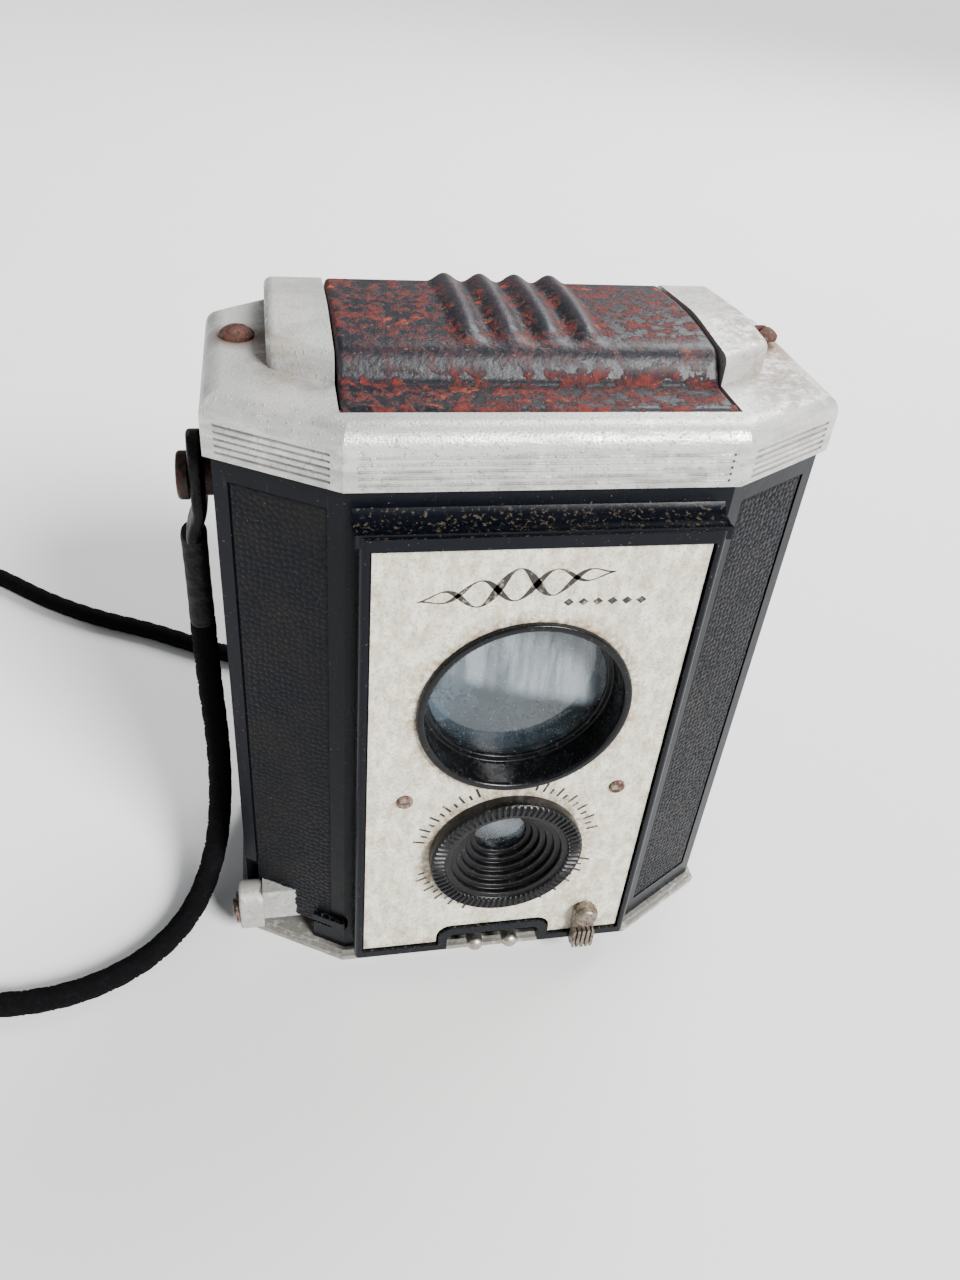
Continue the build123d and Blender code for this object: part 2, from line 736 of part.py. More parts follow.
with BuildPart() as finder_mirror:
    with BuildSketch(Plane.YZ):
        Polygon(
            (-16.6, finder_z - 16.6),
            (17.6, finder_z + 17.6),
            (17.6 + slope_drop / 2, finder_z + 17.6 - slope_drop / 2),
            (-16.6 + slope_drop / 2, finder_z - 16.6 - slope_drop / 2),
            align=None,
        )
    extrude(amount=mirror_half - box_sheet - 0.4, both=True)
finder_mirror.part.label = "finder_mirror"
export_step(finder_mirror.part, "parts/finder_mirror.step")

with BuildPart() as finder_frame:
    with BuildSketch(Plane.XY.offset(rim_top)):
        with Locations((0, (frame_front + frame_back) / 2)):
            Rectangle(2 * frame_half, frame_back - frame_front)
    extrude(amount=frame_top - rim_top)
    for low, half, front, back in (
        (rim_top, glass_half - 1.5, glass_front + 1.5, glass_back - 1.5),
        (frame_top - 1.6, glass_half + slip, glass_front - slip, glass_back + slip),
    ):
        with BuildSketch(Plane.XY.offset(low)):
            with Locations((0, (front + back) / 2)):
                Rectangle(2 * half, back - front)
        extrude(amount=frame_top - low, mode=Mode.SUBTRACT)
    # Ears that carry the pins of the two blinds.
    with BuildSketch(Plane.XY.offset(frame_top)):
        for x in (-blind_pin_x, blind_pin_x):
            for y in (frame_front + 0.5, frame_back - 0.5):
                with Locations((x, y)):
                    Rectangle(2 * blind_curl_r, 1.0)
    extrude(amount=0.1 + 2 * blind_curl_r)
    with BuildSketch(Plane.XZ):
        with Locations((-blind_pin_x, blind_pin_z), (blind_pin_x, blind_pin_z)):
            Circle(blind_pin_r)
    extrude(amount=40, both=True, mode=Mode.SUBTRACT)
finder_frame.part.label = "finder_frame"
export_step(finder_frame.part, "parts/finder_frame.step")

with BuildPart() as viewing_glass:
    with BuildSketch(Plane.XY.offset(frame_top - 1.6)):
        with Locations((0, (glass_front + glass_back) / 2)):
            RectangleRounded(2 * glass_half, glass_back - glass_front, 1.0)
    extrude(amount=1.4)
viewing_glass.part.label = "viewing_glass"
export_step(viewing_glass.part, "parts/viewing_glass.step")

# Folded flat, each blind lies inward from its pin; its front edge is cut at 45 degrees so
# that it stays under the rising lid.
blind_nose = blind_front + blind_reach
for side, sign in (("left", -1), ("right", 1)):
    with BuildPart() as blind:
        with BuildSketch(Plane.XY.offset(blind_pin_z + blind_curl_r - blind_sheet)):
            Polygon(
                (sign * blind_pin_x, blind_front),
                (sign * (blind_pin_x - 1.2), blind_front),
                (sign * (blind_pin_x - blind_reach), blind_nose),
                (sign * (blind_pin_x - blind_reach), blind_back),
                (sign * blind_pin_x, blind_back),
                align=None,
            )
        extrude(amount=blind_sheet)
        with BuildSketch(front_at(blind_front)):
            with Locations((sign * blind_pin_x, blind_pin_z)):
                Circle(blind_curl_r)
        extrude(amount=-(blind_back - blind_front))
        with BuildSketch(front_at(blind_front)):
            with Locations((sign * blind_pin_x, blind_pin_z)):
                Circle(blind_pin_r + running)
        extrude(amount=-(blind_back - blind_front), mode=Mode.SUBTRACT)
    blind.part.label = f"blind_{side}"
    export_step(blind.part, f"parts/blind_{side}.step")

with BuildPart() as blind_pins:
    with BuildSketch(front_at(frame_front)):
        with Locations((-blind_pin_x, blind_pin_z), (blind_pin_x, blind_pin_z)):
            Circle(blind_pin_r)
    extrude(amount=-(frame_back - frame_front))
blind_pins.part.label = "blind_pins"
export_step(blind_pins.part, "parts/blind_pins.step")

# ---------------------------------------------------------------- face plate and front fittings
with BuildPart() as faceplate:
    with BuildSketch(front_at(-plate_back)):
        with Locations((0, (plate_low + plate_high) / 2)):
            Rectangle(2 * plate_half, plate_high - plate_low)
        with Locations((0, notch_top - 10)):
            RectangleRounded(2 * notch_half, 20, notch_corner, mode=Mode.SUBTRACT)
        with Locations((0, finder_z)):
            Circle(bezel_barrel_r + slip, mode=Mode.SUBTRACT)
        with Locations((0, lens_z)):
            Circle(lens_barrel_r + slip, mode=Mode.SUBTRACT)
        with Locations((lever_x, lever_z)):
            Circle(lever_shaft_r + running, mode=Mode.SUBTRACT)
        with Locations((-rivet_x, rivet_z), (rivet_x, rivet_z)):
            Circle(1.0, mode=Mode.SUBTRACT)
    extrude(amount=plate_thick)
faceplate.part.label = "faceplate"
export_step(faceplate.part, "parts/faceplate.step")

with BuildPart() as plate_rivets:
    with BuildSketch(front_at(-plate_face)):
        with Locations((-rivet_x, rivet_z), (rivet_x, rivet_z)):
            Circle(rivet_r)
    extrude(amount=0.6)
    fillet(faces().group_by(Axis.Y)[0].edges(), 0.5)
    with BuildSketch(front_at(-plate_face)):
        with Locations((-rivet_x, rivet_z), (rivet_x, rivet_z)):
            Circle(0.96)
    extrude(amount=-(plate_face - hollow_front) - 0.6)
plate_rivets.part.label = "plate_rivets"
export_step(plate_rivets.part, "parts/plate_rivets.step")


def turned(center_z, points):
    """Profile given as (distance ahead of the centre plane, radius) about a lens axis."""
    with BuildSketch(Plane.YZ) as profile:
        Polygon(*[(-ahead, center_z + radius) for ahead, radius in points], align=None)
    return profile.sketch


finder_axis = Axis((0, 0, finder_z), (0, 1, 0))
lens_axis = Axis((0, 0, lens_z), (0, 1, 0))
bezel_back = inner_front - 0.7
seat_ahead = plate_face - 4.4

with BuildPart() as finder_bezel:
    add(turned(finder_z, [
        (plate_face, bezel_barrel_r),
        (plate_face, bezel_r),
        (plate_face + bezel_proud - 0.35, bezel_r),
        (plate_face + bezel_proud, bezel_r - 0.4),
        (plate_face + bezel_proud, bezel_bore_r + 0.35),
        (plate_face + bezel_proud - 0.4, bezel_bore_r),
        (seat_ahead, bezel_bore_r),
        (seat_ahead, bezel_bore_r - 1.1),
        (seat_ahead - 0.7, bezel_bore_r - 1.1),
        (seat_ahead - 0.7, bezel_bore_r),
        (bezel_back, bezel_bore_r),
        (bezel_back, bezel_barrel_r),
    ]))
    revolve(axis=finder_axis)
finder_bezel.part.label = "finder_bezel"
export_step(finder_bezel.part, "parts/finder_bezel.step")

lens_front = seat_ahead - 0.7
with BuildPart() as finder_lens:
    with BuildSketch(Plane.YZ):
        with BuildLine():
            Line((-lens_front, finder_z), (-lens_front - finder_lens_bulge + 0.4, finder_z))
            ThreePointArc(
                (-lens_front - finder_lens_bulge + 0.4, finder_z),
                (-lens_front - 0.26 * finder_lens_bulge, finder_z + 0.66 * (bezel_bore_r - 1.2)),
                (-lens_front, finder_z + bezel_bore_r - 1.2),
            )
            Polyline(
                (-lens_front, finder_z + bezel_bore_r - 1.2),
                (-lens_front, finder_z + finder_lens_r),
                (-lens_front + finder_lens_edge, finder_z + finder_lens_r),
                (-lens_front + finder_lens_edge, finder_z),
                (-lens_front, finder_z),
            )
        make_face()
    revolve(axis=finder_axis)
finder_lens.part.label = "finder_lens"
export_step(finder_lens.part, "parts/finder_lens.step")

with BuildPart() as finder_retainer:
    add(turned(finder_z, [
        (lens_front - finder_lens_edge, finder_lens_r),
        (lens_front - finder_lens_edge, finder_lens_r - 1.2),
        (lens_front - finder_lens_edge - 0.5, finder_lens_r - 1.2),
        (lens_front - finder_lens_edge - 0.5, finder_lens_r),
    ]))
    revolve(axis=finder_axis)
finder_retainer.part.label = "finder_retainer"
export_step(finder_retainer.part, "parts/finder_retainer.step")

# Stepped well of the taking lens, from the knurled rim down to the small glass.
step_count = 5
ring_face = plate_face + lens_ring_proud
well_steps = []
for index in range(step_count):
    radius = 10.3 - index * 1.0
    ahead = ring_face - 0.7 - index * 1.05
    well_steps += [(ahead, radius), (ahead, radius - 1.0)]
ring_back = inner_front + 0.4
lens_seat = ring_face - 0.7 - step_count * 1.05

with BuildPart() as lens_ring:
    add(turned(lens_z, [
        (plate_face, lens_barrel_r),
        (plate_face, lens_ring_r),
        (ring_face - 0.5, lens_ring_r),
        (ring_face, lens_ring_r - 0.4),
        (ring_face, 10.3),
        *well_steps,
        (lens_seat, 5.3),
        (lens_seat, 4.4),
        (lens_seat - 0.7, 4.4),
        (lens_seat - 0.7, taking_lens_r + 0.05),
        (ring_back, taking_lens_r + 0.05),
        (ring_back, lens_barrel_r),
    ]))
    revolve(axis=lens_axis)
    with BuildSketch(front_at(-ring_face)):
        with Locations((0, lens_z)):
            with PolarLocations(11.6, knurl_count):
                Rectangle(2.8, 0.45)
    extrude(amount=-0.35, mode=Mode.SUBTRACT)
lens_ring.part.label = "lens_ring"
export_step(lens_ring.part, "parts/lens_ring.step")

with BuildPart() as taking_lens:
    with BuildSketch(Plane.YZ):
        glass_ahead = lens_seat - 0.7
        with BuildLine():
            Line((-glass_ahead + 1.2, lens_z), (-glass_ahead - 0.6, lens_z))
            ThreePointArc(
                (-glass_ahead - 0.6, lens_z),
                (-glass_ahead - 0.42, lens_z + 2.4),
                (-glass_ahead, lens_z + 4.3),
            )
            Polyline(
                (-glass_ahead, lens_z + 4.3),
                (-glass_ahead, lens_z + taking_lens_r),
                (-glass_ahead + 1.2, lens_z + taking_lens_r),
                (-glass_ahead + 1.2, lens_z),
            )
        make_face()
    revolve(axis=lens_axis)
taking_lens.part.label = "taking_lens"
export_step(taking_lens.part, "parts/taking_lens.step")

with BuildPart() as flash_pins:
    for x in (-flash_x, flash_x):
        with BuildSketch(front_at(-(block_front - notch_depth))):
            with Locations((x, flash_z)):
                Circle(flash_r)
        extrude(amount=4.0)
    fillet(faces().group_by(Axis.Y)[0].edges(), 1.1)
    with BuildSketch(front_at(-(block_front - notch_depth))):
        with Locations((-flash_x, flash_z), (flash_x, flash_z)):
            Circle(0.95)
    extrude(amount=-(block_front - notch_depth - inner_front + 1.6))
flash_pins.part.label = "flash_pins"
export_step(flash_pins.part, "parts/flash_pins.step")

with BuildPart() as flash_insulator:
    with BuildSketch(front_at(-inner_front)):
        with Locations((0, floor_top + 1.9)):
            Rectangle(14, 3.6)
        with Locations((-flash_x, flash_z), (flash_x, flash_z)):
            Circle(0.95, mode=Mode.SUBTRACT)
    extrude(amount=-1.2)
flash_insulator.part.label = "flash_insulator"
export_step(flash_insulator.part, "parts/flash_insulator.step")

# ---------------------------------------------------------------- exposure lever
lever_back = block_front + 0.15
lever_sheet = 1.0
grip_low = 4.8
grip_high = 9.4
grip_half = 1.95

with BuildPart() as exposure_lever:
    with BuildSketch(front_at(-plate_face)):
        with Locations((lever_x, lever_z)):
            Circle(1.9)
    extrude(amount=lever_back - plate_face)
    with BuildSketch(front_at(-lever_back)):
        with Locations((lever_x, lever_z)):
            Circle(2.25)
        with Locations((lever_x, (grip_low + lever_z) / 2)):
            Rectangle(2 * grip_half, lever_z - grip_low)
    extrude(amount=lever_sheet)
    with BuildSketch(front_at(-lever_back - lever_sheet)):
        with Locations((lever_x, (grip_low + grip_high) / 2)):
            RectangleRounded(2 * grip_half, grip_high - grip_low, 0.5)
            with GridLocations(0.86, 1, 4, 1):
                Rectangle(0.32, grip_high - grip_low, mode=Mode.SUBTRACT)
    extrude(amount=1.1)
    with BuildSketch(front_at(-plate_face)):
        with Locations((lever_x, lever_z)):
            Circle(lever_shaft_r)
    extrude(amount=5, mode=Mode.SUBTRACT)
exposure_lever.part.label = "exposure_lever"
export_step(exposure_lever.part, "parts/exposure_lever.step")

shutter_front = inner_front
shutter_sheet = 0.8
cam_ahead = shutter_front - shutter_sheet - 0.2

with BuildPart() as exposure_shaft:
    with BuildSketch(front_at(-lever_back - lever_sheet)):
        with Locations((lever_x, lever_z)):
            Circle(2.1)
    extrude(amount=1.2)
    fillet(faces().sort_by(Axis.Y)[0].edges(), 0.9)
    with BuildSketch(front_at(-lever_back - lever_sheet)):
        with Locations((lever_x, lever_z)):
            Circle(lever_shaft_r)
    extrude(amount=-(lever_back + lever_sheet - cam_ahead + 0.8))
exposure_shaft.part.label = "exposure_shaft"
export_step(exposure_shaft.part, "parts/exposure_shaft.step")

with BuildPart() as exposure_cam:
    with BuildSketch(front_at(-cam_ahead)):
        with Locations((lever_x, lever_z)):
            Circle(2.4)
            with PolarLocations(4.0, 1, start_angle=135):
                SlotOverall(9.0, 2.4)
            Circle(lever_shaft_r, mode=Mode.SUBTRACT)
    extrude(amount=-0.8)
exposure_cam.part.label = "exposure_cam"
export_step(exposure_cam.part, "parts/exposure_cam.step")

# ---------------------------------------------------------------- shutter and film path
disc_x = -8.5
disc_z = 34.0
disc_r = 12.4
plate_low_z = 14.6
plate_high_z = 45.4

with BuildPart() as shutter_plate:
    with BuildSketch(front_at(-shutter_front)):
        with Locations((0, (plate_low_z + plate_high_z) / 2)):
            Rectangle(47.0, plate_high_z - plate_low_z)
        with Locations((0, lens_z)):
            Circle(3.0, mode=Mode.SUBTRACT)
        with Locations((disc_x, disc_z)):
            Circle(1.2, mode=Mode.SUBTRACT)
    extrude(amount=-shutter_sheet)
shutter_plate.part.label = "shutter_plate"
export_step(shutter_plate.part, "parts/shutter_plate.step")

with BuildPart() as aperture_plate:
    with BuildSketch(front_at(-ring_back)):
        with Locations((0, lens_z)):
            Rectangle(12, 12)
            Circle(1.9, mode=Mode.SUBTRACT)
    extrude(amount=-(ring_back - shutter_front))
aperture_plate.part.label = "aperture_plate"
export_step(aperture_plate.part, "parts/aperture_plate.step")

disc_front = shutter_front - shutter_sheet - running
disc_sheet = 0.4
slot_r = hypot(disc_x, disc_z - lens_z)
slot_mid = degrees(atan2(lens_z - disc_z, -disc_x)) + 30

with BuildPart() as shutter_disc:
    with BuildSketch(front_at(-disc_front)):
        with Locations((disc_x, disc_z)):
            Circle(disc_r)
            Circle(1.2 + running, mode=Mode.SUBTRACT)
        with Locations((disc_x, disc_z)):
            with PolarLocations(slot_r, 1, start_angle=slot_mid):
                SlotOverall(9.0, 5.0, rotation=90, mode=Mode.SUBTRACT)
    extrude(amount=-disc_sheet)
shutter_disc.part.label = "shutter_disc"
export_step(shutter_disc.part, "parts/shutter_disc.step")

with BuildPart() as shutter_pivot:
    with BuildSketch(front_at(-shutter_front)):
        with Locations((disc_x, disc_z)):
            Circle(1.2)
    extrude(amount=-(shutter_sheet + disc_sheet + 0.1))
    with BuildSketch(front_at(-shutter_front + shutter_sheet + disc_sheet + 0.1)):
        with Locations((disc_x, disc_z)):
            Circle(2.0)
    extrude(amount=-0.5)
shutter_pivot.part.label = "shutter_pivot"
export_step(shutter_pivot.part, "parts/shutter_pivot.step")

gate_front = 22.0
gate_thick = 1.6
cone_front = -18.0
cone_sheet = 0.8

with BuildPart() as light_cone:
    with BuildSketch(front_at(cone_front)):
        with Locations((0, lens_z)):
            Rectangle(13, 13)
    with BuildSketch(front_at(gate_front)):
        with Locations((0, lens_z)):
            Rectangle(frame_size + 2 * cone_sheet, frame_size + 2 * cone_sheet)
    loft()
    with BuildSketch(front_at(cone_front + cone_sheet)):
        with Locations((0, lens_z)):
            Rectangle(11.4, 11.4)
    with BuildSketch(front_at(gate_front)):
        with Locations((0, lens_z)):
            Rectangle(frame_size, frame_size)
    loft(mode=Mode.SUBTRACT)
    with BuildSketch(front_at(cone_front)):
        with Locations((0, lens_z)):
            Circle(3.4)
    extrude(amount=-2, mode=Mode.SUBTRACT)
light_cone.part.label = "light_cone"
export_step(light_cone.part, "parts/light_cone.step")

with BuildPart() as film_gate:
    with BuildSketch(front_at(gate_front)):
        with Locations((0, (floor_top + mid_low) / 2)):
            Rectangle(49.2, mid_low - floor_top)
        with Locations((0, lens_z)):
            Rectangle(frame_size, frame_size, mode=Mode.SUBTRACT)
        with Locations((0, floor_top)):
            Rectangle(18, 5.4, mode=Mode.SUBTRACT)
    extrude(amount=-gate_thick)
    with BuildSketch(front_at(gate_front + gate_thick)):
        with Locations((0, lens_z - 23.6), (0, lens_z + 23.6)):
            Rectangle(49.2, 1.2)
    extrude(amount=-0.4)
    with BuildSketch(front_at(gate_front)):
        with Locations((0, floor_top)):
            Rectangle(18, 5.4)
    extrude(amount=-3, mode=Mode.SUBTRACT)
film_gate.part.label = "film_gate"
export_step(film_gate.part, "parts/film_gate.step")

with BuildPart() as guide_rods:
    with BuildSketch(Plane.XY.offset(floor_top)):
        with Locations((-26.6, 21.3), (26.6, 21.3)):
            Circle(1.4)
    extrude(amount=mid_low - floor_top)
guide_rods.part.label = "guide_rods"
export_step(guide_rods.part, "parts/guide_rods.step")


def spool_solid(x):
    """Film spool: two flanges on a slotted, bored core, standing upright."""
    with BuildPart() as spool:
        with BuildSketch(Plane.XY.offset(spool_low)):
            with Locations((x, spool_y)):
                Circle(spool_core_r)
        extrude(amount=spool_length)
        for low in (spool_low, spool_low + spool_length - spool_flange_thick):
            with BuildSketch(Plane.XY.offset(low)):
                with Locations((x, spool_y)):
                    Circle(spool_flange_r)
            extrude(amount=spool_flange_thick)
        with BuildSketch(Plane.XY.offset(spool_low)):
            with Locations((x, spool_y)):
                Circle(spool_bore_r)
        extrude(amount=spool_length, mode=Mode.SUBTRACT)
        with BuildSketch(Plane.XY.offset(lens_z - 20)):
            with Locations((x, spool_y)):
                Rectangle(10, 1.2)
        extrude(amount=40, mode=Mode.SUBTRACT)
    return spool.part


with BuildPart() as supply_spool:
    add(spool_solid(-spool_x))
supply_spool.part.label = "supply_spool"
export_step(supply_spool.part, "parts/supply_spool.step")

with BuildPart() as takeup_spool:
    add(spool_solid(spool_x))
takeup_spool.part.label = "takeup_spool"
export_step(takeup_spool.part, "parts/takeup_spool.step")

with BuildPart() as spool_pins:
    for x in (-spool_x, spool_x):
        with BuildSketch(Plane.XY.offset(mid_low)):
            with Locations((x, spool_y)):
                Circle(spool_bore_r - running)
        extrude(amount=-(spool_play + 2.6))
    with BuildSketch(Plane.XY.offset(floor_top)):
        with Locations((-spool_x, spool_y)):
            Circle(spool_bore_r - running)
    extrude(amount=3.2)
spool_pins.part.label = "spool_pins"
export_step(spool_pins.part, "parts/spool_pins.step")

with BuildPart() as spool_springs:
    for x in (-spool_x, spool_x):
        with BuildSketch(Plane.XZ.offset(-spool_y)):
            Polygon(
                (x + spool_bore_r, mid_low),
                (x + spool_bore_r + 0.8, mid_low),
                (x + 6.6, mid_low - spool_play + 0.5),
                (x + 6.6, mid_low - spool_play + 0.2),
                (x + 5.8, mid_low - spool_play + 0.2),
                (x + spool_bore_r, mid_low - 0.5),
                align=None,
            )
        revolve(axis=Axis((x, spool_y, 0), (0, 0, 1)))
spool_springs.part.label = "spool_springs"
export_step(spool_springs.part, "parts/spool_springs.step")

# ---------------------------------------------------------------- winding knob, sunk in the base
with BuildPart() as winding_knob:
    with BuildSketch(Plane.XY.offset(0.35)):
        with Locations((spool_x, spool_y)):
            Circle(knob_r)
            with PolarLocations(knob_r, 40):
                Rectangle(0.7, 0.6, mode=Mode.SUBTRACT)
    extrude(amount=base_thick - 0.1 - 0.35)
    with BuildSketch(Plane.XY.offset(0.35)):
        with Locations((spool_x, spool_y)):
            Circle(knob_r - 1.3)
            Rectangle(2 * knob_r, 3.0, mode=Mode.SUBTRACT)
    extrude(amount=1.1, mode=Mode.SUBTRACT)
winding_knob.part.label = "winding_knob"
export_step(winding_knob.part, "parts/winding_knob.step")

with BuildPart() as winding_key:
    with BuildSketch(Plane.XY.offset(base_thick - 0.1)):
        with Locations((spool_x, spool_y)):
            Circle(1.6)
    extrude(amount=floor_top - base_thick + 0.1 + 0.2)
    with BuildSketch(Plane.XY.offset(floor_top + 0.2)):
        with Locations((spool_x, spool_y)):
            Circle(spool_bore_r)
    extrude(amount=3.0)
winding_key.part.label = "winding_key"
export_step(winding_key.part, "parts/winding_key.step")

# ---------------------------------------------------------------- shutter release
bar_end = recess_right + 0.6

with BuildPart() as shutter_release:
    with BuildSketch(Plane.YZ.offset(bar_left)):
        with Locations(((bar_front + bar_back) / 2, (bar_low + bar_high) / 2)):
            Rectangle(bar_back - bar_front, bar_high - bar_low)
        fillet(vertices().group_by(Axis.Y)[0].sort_by(Axis.Z)[-1], 3.0)
    extrude(amount=bar_end - bar_left)
    with BuildSketch(Plane.YZ.offset(flange_left)):
        with Locations(((bar_front + bar_back) / 2, release_low + 5.1)):
            SlotOverall(10.2, 5.9, rotation=90)
    extrude(amount=bar_left - flange_left)
    fillet(faces().sort_by(Axis.X)[0].edges(), 0.5)
shutter_release.part.label = "shutter_release"
export_step(shutter_release.part, "parts/shutter_release.step")

with BuildPart() as release_rod:
    with BuildSketch(Plane.YZ.offset(bar_end)):
        with Locations((rod_y, rod_z)):
            Circle(rod_r)
    extrude(amount=rod_end - bar_end)
    with BuildSketch(Plane.YZ.offset(rod_collar)):
        with Locations((rod_y, rod_z)):
            Circle(2.6)
            Circle(rod_r, mode=Mode.SUBTRACT)
    extrude(amount=0.8)
release_rod.part.label = "release_rod"
export_step(release_rod.part, "parts/release_rod.step")

with BuildPart() as release_rivet:
    for radius, low, high in ((2.8, flange_left, -0.6), (1.7, flange_left - 0.6, -0.6)):
        with BuildSketch(Plane.YZ.offset(low)):
            with Locations(((bar_front + bar_back) / 2, 7.0)):
                Circle(radius)
        extrude(amount=high)
release_rivet.part.label = "release_rivet"
export_step(release_rivet.part, "parts/release_rivet.step")

spring_turns = 6
spring_pitch = 1.3
with BuildPart() as release_spring:
    with BuildLine():
        coil = Helix(
            pitch=spring_pitch,
            height=spring_turns * spring_pitch,
            radius=2.0,
            center=(rod_collar + 0.8 + 0.3, rod_y, rod_z),
            direction=(1, 0, 0),
        )
    with BuildSketch(Plane(origin=coil @ 0, z_dir=coil % 0)):
        Circle(0.25)
    sweep(is_frenet=True)
release_spring.part.label = "release_spring"
export_step(release_spring.part, "parts/release_spring.step")

# ---------------------------------------------------------------- strap lugs, tabs and sleeves
tab_inner = body_face_x + lug_collar + 0.15
tab_outer = lug_face - 0.2
tab_top = lug_z + 7.0
tab_bend = lug_z - 4.5
for side, sign in (("left", -1), ("right", 1)):
    with BuildPart() as lug:
        for radius, start, end in (
            (2.4, inner_x - 0.8, inner_x),
            (1.3, inner_x, lug_face),
            (3.0, body_face_x, body_face_x + lug_collar),
            (lug_disc_r, lug_face, lug_face + lug_disc_thick),
        ):
            with BuildSketch(Plane.YZ.offset(sign * start)):
                with Locations((lug_y, lug_z)):
                    Circle(radius)
            extrude(amount=sign * (end - start))
        rim_edges = edges().filter_by(GeomType.CIRCLE)
        rim_edges = rim_edges.filter_by(lambda e: abs(abs(e.center().X) - lug_face - lug_disc_thick) < 0.01)
        fillet(rim_edges, 0.6)
    lug.part.label = f"strap_lug_{side}"
    export_step(lug.part, f"parts/strap_lug_{side}.step")

    with BuildPart() as tab:
        with BuildSketch(Plane.XZ.offset(-lug_y)):
            Polygon(
                (sign * tab_inner, tab_top),
                (sign * tab_outer, tab_top),
                (sign * tab_outer, tab_bend),
                (sign * (sleeve_x + 0.9), sleeve_top),
                (sign * (sleeve_x - 1.1), sleeve_top),
                (sign * tab_inner, tab_bend),
                align=None,
            )
        extrude(amount=4.2, both=True)
        corners = edges().filter_by(Axis.X).group_by(Axis.Z)[-1]
        fillet(corners, 4.0)
        with BuildSketch(Plane.YZ):
            with Locations((lug_y, lug_z)):
                Circle(1.4)
        extrude(amount=sign * 60, mode=Mode.SUBTRACT)
    tab.part.label = f"strap_tab_{side}"
    export_step(tab.part, f"parts/strap_tab_{side}.step")

    with BuildPart() as sleeve:
        with BuildSketch(Plane.XY.offset(sleeve_low)):
            with Locations((sign * sleeve_x, lug_y)):
                RectangleRounded(4.0, 6.4, 1.9)
        extrude(amount=sleeve_top - sleeve_low)
    sleeve.part.label = f"cord_sleeve_{side}"
    export_step(sleeve.part, f"parts/cord_sleeve_{side}.step")

# ---------------------------------------------------------------- neck cord
cord_route = [
    (-47.4, 1.3, 60.0),
    (-47.4, 1.3, 48.5),
    (-46.8, 0.3, 34.0),
    (-47.2, -0.9, 20.5),
    (-48.8, -4.4, 9.6),
    (-52.6, -11.6, 3.1),
    (-58.6, -19.6, 2.1),
    (-67.0, -25.2, 2.1),
    (-77.0, -27.8, 2.1),
    (-88.6, -27.4, 2.1),
    (-101.0, -23.5, 2.1),
    (-113.5, -14.5, 2.1),
    (-124.5, -1.0, 2.1),
    (-133.5, 16.0, 2.1),
    (-140.5, 36.0, 2.1),
    (-145.5, 57.0, 2.1),
    (-147.0, 79.0, 2.1),
    (-142.5, 98.5, 2.1),
    (-131.0, 109.5, 2.1),
    (-117.0, 109.0, 2.1),
    (-105.0, 99.8, 2.1),
    (-92.5, 88.9, 2.1),
    (-79.6, 80.8, 2.1),
    (-67.0, 75.2, 2.1),
    (-54.5, 67.6, 2.1),
    (-40.0, 60.5, 2.1),
    (-22.0, 56.0, 2.1),
    (-3.0, 54.5, 2.1),
    (16.0, 52.5, 2.1),
    (32.0, 46.5, 2.1),
    (44.5, 38.5, 2.1),
    (51.0, 29.5, 2.1),
    (52.8, 19.5, 2.1),
    (52.2, 10.0, 3.1),
    (50.6, 3.2, 8.9),
    (49.0, 0.6, 19.2),
    (47.9, 0.4, 33.0),
    (47.4, 1.3, 47.0),
    (47.4, 1.3, 60.0),
]


def cord_radii(route):
    """Arc at each inner point: 0.45 of its shorter run over the tangent of half the turn."""
    radii = []
    for before, here, after in zip(route, route[1:], route[2:]):
        coming = Vector(*here) - Vector(*before)
        going = Vector(*after) - Vector(*here)
        turn = radians(coming.get_angle(going))
        radii.append(0.45 * min(coming.length, going.length) / tan(turn / 2))
    return radii


radii = cord_radii(cord_route)
print("cord radii", [round(radius, 1) for radius in radii])

with BuildPart() as neck_cord:
    with BuildLine():
        cord_path = FilletPolyline(*cord_route, radius=radii)
    with BuildSketch(Plane(origin=cord_path @ 0, z_dir=cord_path % 0)):
        Circle(cord_r)
    sweep()
neck_cord.part.label = "neck_cord"
export_step(neck_cord.part, "parts/neck_cord.step")
section = pi * cord_r ** 2
print("cord length", round(cord_path.length, 1))
print("cord volume over section times length", neck_cord.part.volume / section / cord_path.length)
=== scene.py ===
"""Visual model of a twin lens reflex camera of the simple, fixed-focus kind.

The file is laid out as a Blender add-on and run as a script. Every operator makes or finishes
one group of pieces. All sizes are in metres, in the frame of the CAD model.
"""

import bmesh
import bpy
import numpy as np
from bpy.props import FloatProperty, FloatVectorProperty, IntProperty, PointerProperty
from mathutils import Euler, Matrix, Vector


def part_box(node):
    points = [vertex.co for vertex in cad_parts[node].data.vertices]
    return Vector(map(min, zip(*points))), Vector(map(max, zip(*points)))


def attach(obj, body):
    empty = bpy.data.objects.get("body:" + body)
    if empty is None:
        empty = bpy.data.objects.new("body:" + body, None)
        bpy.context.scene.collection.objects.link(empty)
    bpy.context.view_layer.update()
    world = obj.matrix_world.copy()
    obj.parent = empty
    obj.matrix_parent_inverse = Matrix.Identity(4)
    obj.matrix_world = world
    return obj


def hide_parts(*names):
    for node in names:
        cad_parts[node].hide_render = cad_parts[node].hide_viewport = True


bl_info = {
    "name": "Twin Lens Reflex Camera",
    "version": (1, 0, 0),
    "blender": (4, 5, 0),
    "location": "View3D > Sidebar > TLR Camera",
    "description": "Builds the visual model of a moulded twin lens reflex camera",
    "category": "Object",
}

